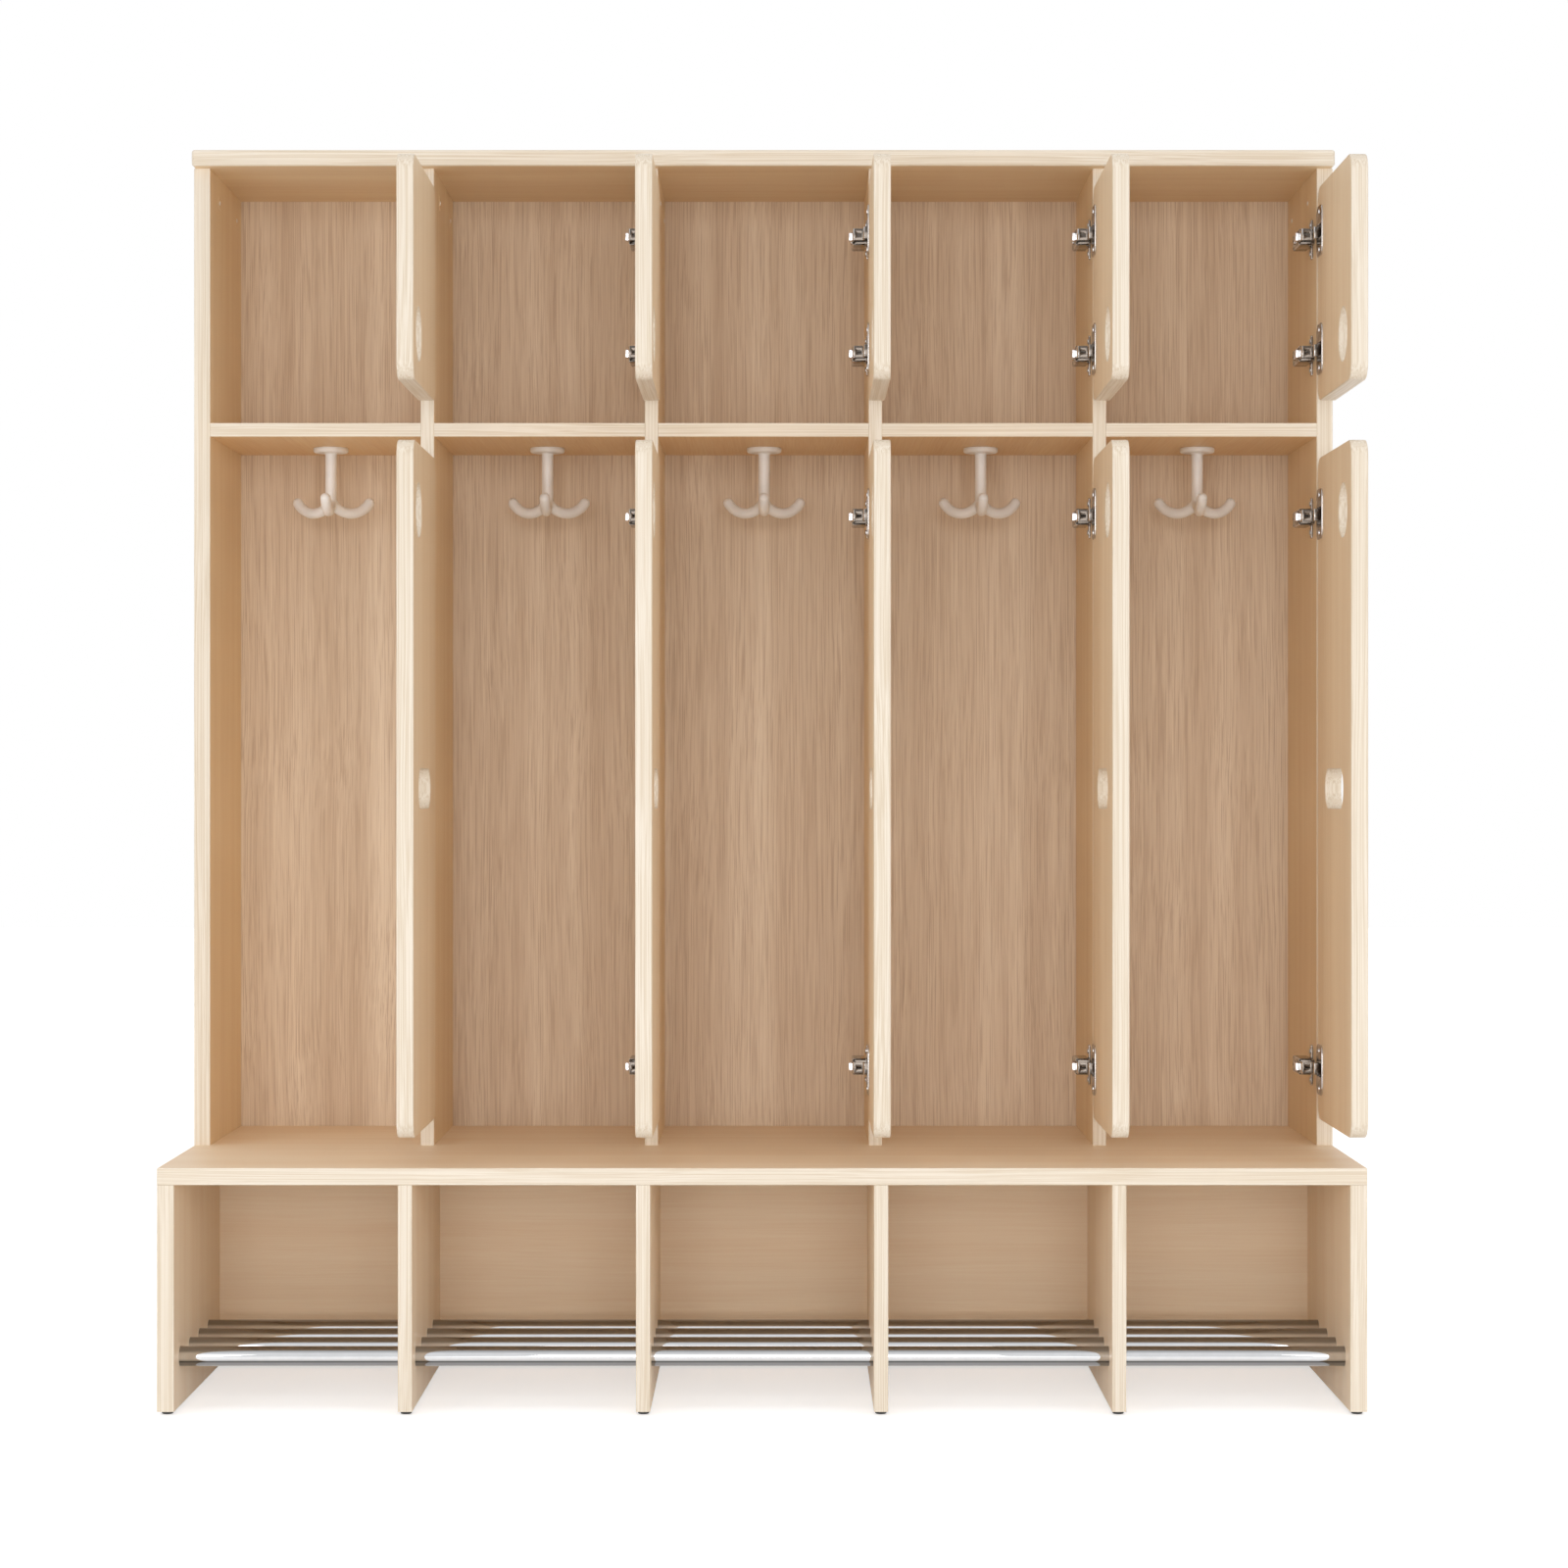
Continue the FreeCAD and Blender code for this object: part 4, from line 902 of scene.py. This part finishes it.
def prong_pattern(sizes):
    """One prong along +X: a ring swept round the bend, with a ball at its tip."""
    centre = Vector((sizes.prong_reach, 0, sizes.prong_bend - sizes.hook_drop))
    sweep = sizes.prong_root + sizes.prong_tip
    clear_selection()
    root = centre + Vector(
        (-math.sin(sizes.prong_root), 0, -math.cos(sizes.prong_root))) * sizes.prong_bend
    bpy.ops.mesh.primitive_circle_add(
        vertices=24, radius=sizes.prong_radius, fill_type="NGON", location=root,
        rotation=(0, math.pi / 2 + sizes.prong_root, 0))
    tube = settle("prong_tube")
    select(tube, "FACE", lambda face: True)
    bpy.ops.mesh.spin(steps=20, angle=sweep, center=centre, axis=(0, 1, 0))
    weld()
    tip = centre + Vector((math.sin(sizes.prong_tip), 0, -math.cos(sizes.prong_tip))) * sizes.prong_bend
    bpy.ops.mesh.primitive_uv_sphere_add(
        segments=24, ring_count=14, radius=sizes.prong_radius, location=tip)
    ball = settle("prong_ball")
    return join("prong", [tube, ball])


class BENCH_OT_make_shoe_rails(bpy.types.Operator):
    """Model the chromed tubes that shoes rest on"""

    bl_idname = "bench.make_shoe_rails"
    bl_label = "Make shoe rails"

    def execute(self, context):
        sizes = context.scene.bench_fittings
        material = rail_material()
        radius = (RAIL_HIGH[2] - RAIL_LOW[2]) / 2
        for number in range(1, RAILS + 1):
            low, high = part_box(f"shoe_rail_{number}")
            start = (low[0], (low[1] + high[1]) / 2, (low[2] + high[2]) / 2)
            rail = start_round(f"chromed_rail_{number}", radius, start, high[0] - low[0], "X", 72)
            select(rail, "FACE", lambda face: abs(face.normal.x) > FACING)
            bpy.ops.mesh.inset(thickness=sizes.rail_wall, use_individual=True)
            bpy.ops.mesh.delete(type="FACE")
            select(rail, "EDGE", lambda edge: edge.is_boundary)
            bpy.ops.mesh.bridge_edge_loops()
            clear_selection()
            bevel(rail, RAIL_RIM, 2, is_rim)
            finish_piece(rail, "carcass", material, [f"shoe_rail_{number}"])
        return {"FINISHED"}


def is_rim(edge):
    """Whether two faces meet sharply at an edge."""
    return len(edge.link_faces) == 2 and edge.calc_face_angle(0) > RIM_ANGLE


class BENCH_OT_make_floor_glides(bpy.types.Operator):
    """Model the round glides under the legs"""

    bl_idname = "bench.make_floor_glides"
    bl_label = "Make floor glides"

    def execute(self, context):
        sizes = context.scene.bench_fittings
        pad = start_round("glide_pad", sizes.glide_radius, (0, 0, 0), sizes.glide_height, sides=32)
        bevel(pad, GLIDE_ROUND, 3, lambda edge: abs(middle(edge).z) < TOUCH)
        select(pad, "FACE", lambda face: face.normal.z > FACING)
        bpy.ops.mesh.inset(thickness=sizes.glide_radius - GLIDE_PIN_RADIUS)
        extrude(0, 0, GLIDE_PIN_LENGTH)
        extrude(0, 0, GLIDE_PIN_POINT)
        bpy.ops.transform.resize(value=(GLIDE_PIN_TIP, GLIDE_PIN_TIP, 1))
        clear_selection()
        glides = []
        for name in UPRIGHTS:
            low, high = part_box(f"bench_{name}")
            for depth in (GLIDE_LOW[1] + sizes.glide_radius, GLIDE_HIGH[1] - sizes.glide_radius):
                glides.append(place_copy(pad, "glide", ((low[0] + high[0]) / 2, depth, GLIDE_LOW[2])))
        remove(pad)
        glide = join("glide_pads", glides)
        material = plastic_material(
            "Glide plastic", context.scene.bench_finishes.glide_plastic, rough=0.5)
        finish_piece(glide, "carcass", material, ["floor_glides"])
        return {"FINISHED"}


class BENCH_OT_make_hinge_arms(bpy.types.Operator):
    """Model the arm, mounting plate and plate screws of every hinge"""

    bl_idname = "bench.make_hinge_arms"
    bl_label = "Make hinge arms and plates"

    def execute(self, context):
        sizes = context.scene.bench_hinges
        bright = metal_material(
            "Hinge clip", context.scene.bench_finishes.clip_metal, rough=0.22, haze=0.10)
        nickel, zinc = arm_material(), zinc_material()
        middle_spot = [(0, 0)]
        screw_spots = [(sizes.plate_setback, side * sizes.plate_screws / 2) for side in (-1, 1)]
        plate_screw = screw_pattern(sizes, sizes.plate_thickness)
        for name, pattern, spots, slot, material, nodes in (
            ("hinge_arms", arm_pattern(sizes), middle_spot, "hinge_nickel", nickel, ["hinge_arms"]),
            ("hinge_clips", clip_pattern(sizes), middle_spot, "hinge_nickel", bright, []),
            ("hinge_plates", plate_pattern(sizes), middle_spot, "hinge_nickel", nickel, ["hinge_plates"]),
            ("plate_screws", plate_screw, screw_spots, "fastener_steel", zinc, ["hinge_plate_screws"]),
        ):
            copies = []
            for bay in range(1, BAYS + 1):
                for height in hinge_heights(sizes):
                    for depth, rise in spots:
                        place = (bay_right(bay), CABINET_FRONT + depth, height + rise)
                        copies.append(place_copy(pattern, name, place))
            remove(pattern)
            finish_piece(join(f"pressed_{name}", copies), "carcass", material, nodes)
        return {"FINISHED"}


def hinge_heights(sizes, kinds=("upper", "tall")):
    """Heights of a locker's hinges, from its two sets of cups."""
    heights = []
    for kind in kinds:
        low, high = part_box(f"{kind}_hinge_cups_1")
        heights += [low[2] + sizes.flange_height / 2, high[2] - sizes.flange_height / 2]
    return heights


def pin_place():
    """The hinge pin's place from the panel's face and the cabinet's front."""
    pin = frame["joints"][0]["pos_m"]
    return pin[0] - bay_right(1), pin[1] - CABINET_FRONT


def arm_pattern(sizes):
    """A hinge arm: channel, neck with its eye and adjusting screw."""
    outer, half = -sizes.arm_standoff, sizes.arm_height / 2
    rear = sizes.arm_front + sizes.arm_length
    channel = start_block("channel", (outer, sizes.arm_front, -half), (-sizes.arm_lift, rear, half))
    bevel(channel, ARM_BEND, 4, lambda edge: runs_along(edge, 1) and middle(edge).x < outer + TOUCH)
    select(channel, "FACE", lambda face: face.normal.x > FACING or abs(face.normal.y) > FACING)
    bpy.ops.mesh.delete(type="FACE")
    clear_selection()
    apply_modifier(channel, "SOLIDIFY", thickness=sizes.arm_wall, offset=-1)
    slot = start_block(
        "slot", (outer - OVERSHOOT, rear - ARM_SLOT_START, -ARM_SLOT_HALF),
        (outer + ARM_SLOT_DEPTH, rear - ARM_SLOT_END, ARM_SLOT_HALF))
    bevel(slot, ARM_SLOT_ROUND, 5, lambda edge: runs_along(edge, 0))
    combine(channel, slot, "DIFFERENCE")
    break_edges(channel, ARM_EDGE)
    pin_x, pin_y = pin_place()
    eye = start_round(
        "eye", sizes.eye_radius, (pin_x, pin_y, -sizes.neck_height / 2), sizes.neck_height, sides=24)
    bevel(eye, EYE_ROUND, 2, is_rim)
    screw = screw_pattern(sizes, 0, head_only=True)
    screw_y = rear - (ARM_SLOT_START + ARM_SLOT_END) / 2
    screw.data.transform(Matrix.Translation((outer, screw_y, 0)) @ Matrix.Scale(ARM_SCREW_SCALE, 4))
    return join("arm_pattern", [channel, neck_pattern(sizes, pin_x, pin_y), eye, screw])


def runs_along(edge, axis):
    """Whether an edge lies along X, Y or Z, counted 0, 1 and 2."""
    step = edge.verts[1].co - edge.verts[0].co
    return abs(step[axis]) > ALONG * step.length


def neck_pattern(sizes, pin_x, pin_y):
    """The arm's neck: out past the cabinet's front, across, forward again and into the cup."""
    outer, half, thick = -sizes.arm_standoff, sizes.neck_height / 2, sizes.neck_thickness
    bend = sizes.elbow_radius
    cross_front = -sizes.neck_front - thick
    entry_left = -sizes.neck_gap - thick
    turn_y = cross_front + bend
    neck = start_block(
        "neck", (outer, turn_y, -half), (outer + thick, sizes.arm_front + sizes.neck_root, half))
    select(neck, "FACE", lambda face: face.normal.y < -FACING)
    bend_neck((outer + bend, turn_y), -1)
    extrude(entry_left + thick - bend - (outer + bend), 0, 0)
    bend_neck((entry_left + thick - bend, -sizes.neck_front - bend), 1)
    extrude(0, pin_y - thick / 2 + bend - (-sizes.neck_front - bend), 0)
    bend_neck((entry_left + bend, pin_y - thick / 2 + bend), -1)
    extrude(pin_x - (entry_left + bend), 0, 0)
    weld()
    slot_x = (outer + entry_left) / 2 + NECK_SLOT_SHIFT
    slot = start_block(
        "slot", (slot_x - NECK_SLOT_HALF_WIDTH, cross_front - OVERSHOOT, -NECK_SLOT_HALF_HEIGHT),
        (slot_x + NECK_SLOT_HALF_WIDTH, OVERSHOOT - sizes.neck_front, NECK_SLOT_HALF_HEIGHT))
    bevel(slot, NECK_SLOT_ROUND, 4, lambda edge: runs_along(edge, 1))
    combine(neck, slot, "DIFFERENCE")
    return break_edges(neck, NECK_EDGE)


def bend_neck(centre, side):
    """Spin the selected end of the neck a quarter turn about an upright axis."""
    bpy.ops.mesh.spin(steps=6, angle=math.pi / 2, center=(*centre, 0), axis=(0, 0, side))


def clip_pattern(sizes):
    """The thumb clip that stands off the front of the arm."""
    outer, half = -sizes.arm_standoff, sizes.clip_height / 2
    front = sizes.arm_front - sizes.clip_overhang
    clip = start_block(
        "clip", (outer - sizes.clip_rise, front, -half),
        (outer + CLIP_SINK, front + sizes.clip_length, half))
    bevel(
        clip, CLIP_ROUND, 2, lambda edge: middle(edge).x < outer - TOUCH or middle(edge).y < front + TOUCH)
    select(clip, "FACE", lambda face: face.normal.y < -FACING)
    bpy.ops.mesh.inset(thickness=CLIP_FRAME)
    extrude(0, CLIP_DISH, 0)
    clear_selection()
    return clip


def plate_pattern(sizes):
    """A mounting plate: wings on the panel and the block that the arm clips over."""
    half_width, half_height = sizes.plate_width / 2, sizes.plate_height / 2
    wings = start_block(
        "wings", (-sizes.plate_thickness, sizes.plate_setback - half_width, -half_height),
        (0, sizes.plate_setback + half_width, half_height))
    select(wings, "FACE", lambda face: abs(face.normal.z) > FACING)
    bpy.ops.transform.resize(value=(1, WING_TAPER, 1), center_override=(0, sizes.plate_setback, 0))
    bevel(wings, WING_CORNER, 6, lambda edge: runs_along(edge, 0))
    bevel(wings, WING_ROUND, 3, lambda edge: is_rim(edge) and middle(edge).x < -TOUCH)
    half = sizes.arm_height / 2 - sizes.arm_wall - BLOCK_PLAY
    low = (sizes.neck_thickness - sizes.arm_standoff, sizes.arm_front + sizes.block_margin, -half)
    high = (0, sizes.arm_front + sizes.arm_length - sizes.block_margin, half)
    block = start_block("block", low, high)
    bevel(block, BLOCK_ROUND, 3, lambda edge: middle(edge).x < -TOUCH)
    return join("plate_pattern", [wings, block])


def screw_pattern(sizes, grip, head_only=False):
    """A cross-head screw along X through a plate, with the plate's seat at the origin."""
    radius, rise = sizes.screw_head, sizes.screw_rise
    screw = start_round("screw", radius, (-grip - rise, 0, 0), rise, "X", 28)
    bevel(screw, rise * SCREW_DOME, 4, lambda edge: middle(edge).x < -grip - rise + TOUCH)
    reach, half = CROSS_REACH * radius, CROSS_HALF * radius
    for half_width, half_height in ((reach, half), (half, reach)):
        cross = start_block(
            "cross", (-grip - rise - OVERSHOOT, -half_width, -half_height),
            (-grip - rise * CROSS_FLOOR, half_width, half_height))
        combine(screw, cross, "DIFFERENCE")
    if not head_only:
        select(screw, "FACE", lambda face: face.normal.x > FACING and middle(face).x > -grip - TOUCH)
        bpy.ops.mesh.inset(thickness=radius - sizes.screw_shank)
        extrude(grip + sizes.screw_bite * (1 - SCREW_POINT), 0, 0)
        extrude(sizes.screw_bite * SCREW_POINT, 0, 0)
        bpy.ops.transform.resize(value=(1, SCREW_TIP, SCREW_TIP))
        clear_selection()
    return screw


class BENCH_OT_make_hinge_cups(bpy.types.Operator):
    """Model the hinge cups in the doors, with their flanges and screws"""

    bl_idname = "bench.make_hinge_cups"
    bl_label = "Make hinge cups"

    def execute(self, context):
        sizes = context.scene.bench_hinges
        cup = cup_pattern(sizes)
        screw = screw_pattern(sizes, sizes.flange_thickness)
        for kind in ("upper", "tall"):
            for bay in range(1, BAYS + 1):
                low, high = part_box(f"{kind}_door_{bay}")
                x, y = low[0], high[1] - sizes.cup_inset
                copies = []
                for height in hinge_heights(sizes, [kind]):
                    copies.append(place_copy(cup, "cup", (x, y, height)))
                    for side in (-1, 1):
                        spot = (x, y, height + side * sizes.flange_screws / 2)
                        copies.append(place_copy(screw, "cup_screw", spot))
                piece = join(f"pressed_{kind}_cups_{bay}", copies)
                finish_piece(
                    piece, f"{kind}_door_body_{bay}", flange_material(),
                    [f"{kind}_hinge_cups_{bay}"])
        remove(cup)
        remove(screw)
        return {"FINISHED"}


def cup_pattern(sizes):
    """A hinge cup let into a door's face at the origin, with its flange in front."""
    front, radius = -sizes.flange_thickness, sizes.cup_radius
    half_width, half_height = radius + sizes.flange_rim, sizes.flange_height / 2
    cup = start_block("cup", (front, -half_width, -half_height), (0, half_width, half_height))
    bevel(cup, sizes.flange_corner, 8, lambda edge: runs_along(edge, 0))
    barrel = start_round("barrel", radius, (front / 2, 0, 0), sizes.cup_depth - front / 2, "X", 64)
    combine(cup, barrel, "UNION")
    inner, floor = radius - sizes.cup_wall, sizes.cup_depth - sizes.cup_wall
    mouth = start_block(
        "mouth", (front - OVERSHOOT, -radius, -sizes.cup_mouth / 2), (floor, radius, sizes.cup_mouth / 2))
    bore_start = front - 2 * OVERSHOOT
    bore = start_round("bore", inner, (bore_start, 0, 0), floor - bore_start + 2 * OVERSHOOT, "X", 64)
    combine(mouth, bore, "INTERSECT")
    combine(cup, mouth, "DIFFERENCE")
    return break_edges(cup, CUP_EDGE)


class BENCH_OT_make_cam_covers(bpy.types.Operator):
    """Model the foil discs over the cam locks inside the cubbies, and their plugs"""

    bl_idname = "bench.make_cam_covers"
    bl_label = "Make cam covers"

    def execute(self, context):
        sizes = context.scene.bench_fittings
        look = context.scene.bench_finishes
        foil = wood_material("Cover foil", look.face_pale, look.face_dark, "Z")
        disc = start_round("disc", sizes.cover_radius, (0, 0, 0), sizes.cover_height, "X", 40)
        bevel(disc, COVER_ROUND, 2, lambda edge: middle(edge).x > sizes.cover_height - TOUCH)
        covers = join("cam_covers", cover_copies(sizes, disc))
        finish_piece(covers, "carcass", foil)
        plug = start_round(
            "plug", sizes.plug_radius, (sizes.cover_height, 0, 0), sizes.plug_height, "X", 24)
        bevel(
            plug, PLUG_ROUND, 3,
            lambda edge: middle(edge).x > sizes.cover_height + TOUCH and is_rim(edge))
        plugs = join("cam_plugs", cover_copies(sizes, plug))
        finish_piece(plugs, "carcass", hook_material())
        return {"FINISHED"}


def cover_copies(sizes, pattern):
    """Copies of a pattern over every cam lock. The pattern is removed."""
    height = CABINET_TOP - sizes.cover_drop
    spots = [(bay_left(bay), 0.0) for bay in range(1, BAYS + 1)] + [(bay_right(BAYS), math.pi)]
    copies = []
    for x, turn in spots:
        for depth in (sizes.cover_front, sizes.cover_rear):
            place = (x, CABINET_FRONT + depth, height)
            copies.append(place_copy(pattern, pattern.name, place, turn))
    remove(pattern)
    return copies


# Name, setting of the power, place, target, width and height, and spread of the beam
SOFTBOXES = (
    ("Key light", "key_power", (0.0, -6.5, 1.2), (0.0, 0.0, 0.7), (3.4, 2.2), math.pi),
    ("Left fill", "fill_power", (-3.4, -3.4, 1.1), (0.0, 0.0, 0.8), (1.8, 1.4), math.pi),
    ("Right fill", "fill_power", (3.4, -3.4, 1.1), (0.0, 0.0, 0.8), (1.8, 1.4), math.pi),
    ("Low strip", "low_power", (0.0, -3.0, 0.18), (0.0, -0.1, 0.13), (2.8, 0.26), math.radians(40)),
)
FLOOR_COLOUR, FLOOR_ROUGHNESS, FLOOR_SHEEN, FLOOR_GLOW = (0.85, 0.85, 0.85), 0.9, 0.1, 0.55
FLOOR_WIDTH, SENSOR_WIDTH = 24, 36


class BENCH_OT_set_stage(bpy.types.Operator):
    """Set the floor, the lights and the camera"""

    bl_idname = "bench.set_stage"
    bl_label = "Set the stage"

    def execute(self, context):
        stage = context.scene.bench_stage
        add_floor()
        add_sky(context.scene, stage.sky_low, stage.sky_high)
        for name, power, *setting in SOFTBOXES:
            add_softbox(name, getattr(stage, power), *setting)
        lens = bpy.data.cameras.new("Camera")
        lens.sensor_width = SENSOR_WIDTH
        lens.lens = stage.lens
        camera = bpy.data.objects.new("Camera", lens)
        camera.location = stage.camera_place
        camera.rotation_euler = (math.pi / 2, 0, 0)
        context.scene.collection.objects.link(camera)
        context.scene.camera = camera
        context.scene.view_settings.view_transform = "Standard"
        return {"FINISHED"}


def add_floor():
    """A wide white floor that keeps a soft shadow of the bench."""
    clear_selection()
    bpy.ops.mesh.primitive_plane_add(size=FLOOR_WIDTH, location=(0, 0, 0))
    floor = settle("studio_floor")
    material = bpy.data.materials.new("Studio floor")
    material.use_nodes = True
    tree = material.node_tree
    shader = tree.nodes["Principled BSDF"]
    shader.inputs["Base Color"].default_value = rgba(FLOOR_COLOUR)
    shader.inputs["Roughness"].default_value = FLOOR_ROUGHNESS
    shader.inputs["Specular IOR Level"].default_value = FLOOR_SHEEN
    shader.inputs["Emission Color"].default_value = (1, 1, 1, 1)
    seen = seen_directly(tree)
    put(tree, math_node(tree, "MULTIPLY", seen, FLOOR_GLOW), shader.inputs["Emission Strength"])
    floor.data.materials.append(material)


def seen_directly(tree):
    """1 where the camera sees a surface straight, in a mirror or through glass."""
    path = add_node(tree, "ShaderNodeLightPath").outputs
    return math_node(
        tree, "MAXIMUM", path["Is Camera Ray"],
        math_node(tree, "MAXIMUM", path["Is Glossy Ray"], path["Is Transmission Ray"]))


def add_sky(scene, low, high):
    """Soft white light from all round, stronger from above and seen as plain white."""
    scene.world = bpy.data.worlds.new("Studio")
    scene.world.use_nodes = True
    tree = scene.world.node_tree
    tree.nodes.clear()
    direction = add_node(tree, "ShaderNodeTexCoord").outputs["Generated"]
    rise = add_node(tree, "ShaderNodeSeparateXYZ", {0: direction}).outputs["Z"]
    soft = spread(tree, rise, 0.0, 1.0, low, high)
    level = math_node(tree, "MAXIMUM", soft, seen_directly(tree))
    sky = add_node(tree, "ShaderNodeBackground", {"Color": (1, 1, 1, 1), "Strength": level})
    result = tree.nodes.new("ShaderNodeOutputWorld")
    tree.links.new(sky.outputs[0], result.inputs[0])


def add_softbox(name, power, place, target, size, beam):
    """A soft rectangular light aimed at a point."""
    data = bpy.data.lights.new(name, "AREA")
    data.shape = "RECTANGLE"
    data.size, data.size_y = size
    data.energy = power
    data.spread = beam
    lamp = bpy.data.objects.new(name, data)
    lamp.location = place
    lamp.rotation_euler = (Vector(target) - Vector(place)).to_track_quat("-Z", "Y").to_euler()
    bpy.context.scene.collection.objects.link(lamp)


class BENCH_PT_sidebar(bpy.types.Panel):
    """Steps that dress the bench"""

    bl_idname = "BENCH_PT_sidebar"
    bl_label = "Cloakroom bench"
    bl_space_type = "VIEW_3D"
    bl_region_type = "UI"
    bl_category = "Bench"

    def draw(self, context):
        for step in STEPS:
            self.layout.operator(step.bl_idname)
        for group in GROUPS:
            settings = getattr(context.scene, group)
            column = self.layout.column()
            for name in settings.__annotations__:
                column.prop(settings, name)


STEPS = (
    BENCH_OT_finish_boards,
    BENCH_OT_finish_fasteners,
    BENCH_OT_make_coat_hooks,
    BENCH_OT_make_shoe_rails,
    BENCH_OT_make_floor_glides,
    BENCH_OT_make_hinge_arms,
    BENCH_OT_make_hinge_cups,
    BENCH_OT_make_cam_covers,
    BENCH_OT_set_stage,
)
GROUPS = {
    "bench_finishes": BenchFinishes,
    "bench_fittings": BenchFittings,
    "bench_hinges": BenchHinges,
    "bench_stage": BenchStage,
}


def register():
    """Register the classes and tie the settings to the scene."""
    for name, group in GROUPS.items():
        bpy.utils.register_class(group)
        setattr(bpy.types.Scene, name, PointerProperty(type=group))
    for item in (*STEPS, BENCH_PT_sidebar):
        bpy.utils.register_class(item)


def unregister():
    """Take the classes and settings away again."""
    for item in reversed((*STEPS, BENCH_PT_sidebar)):
        bpy.utils.unregister_class(item)
    for name, group in GROUPS.items():
        delattr(bpy.types.Scene, name)
        bpy.utils.unregister_class(group)


def main():
    """Run every step in order."""
    register()
    bpy.ops.bench.finish_boards()
    bpy.ops.bench.finish_fasteners()
    bpy.ops.bench.make_coat_hooks()
    bpy.ops.bench.make_shoe_rails()
    bpy.ops.bench.make_floor_glides()
    bpy.ops.bench.make_hinge_arms()
    bpy.ops.bench.make_hinge_cups()
    bpy.ops.bench.make_cam_covers()
    bpy.ops.bench.set_stage()


if __name__ == "__main__":
    main()
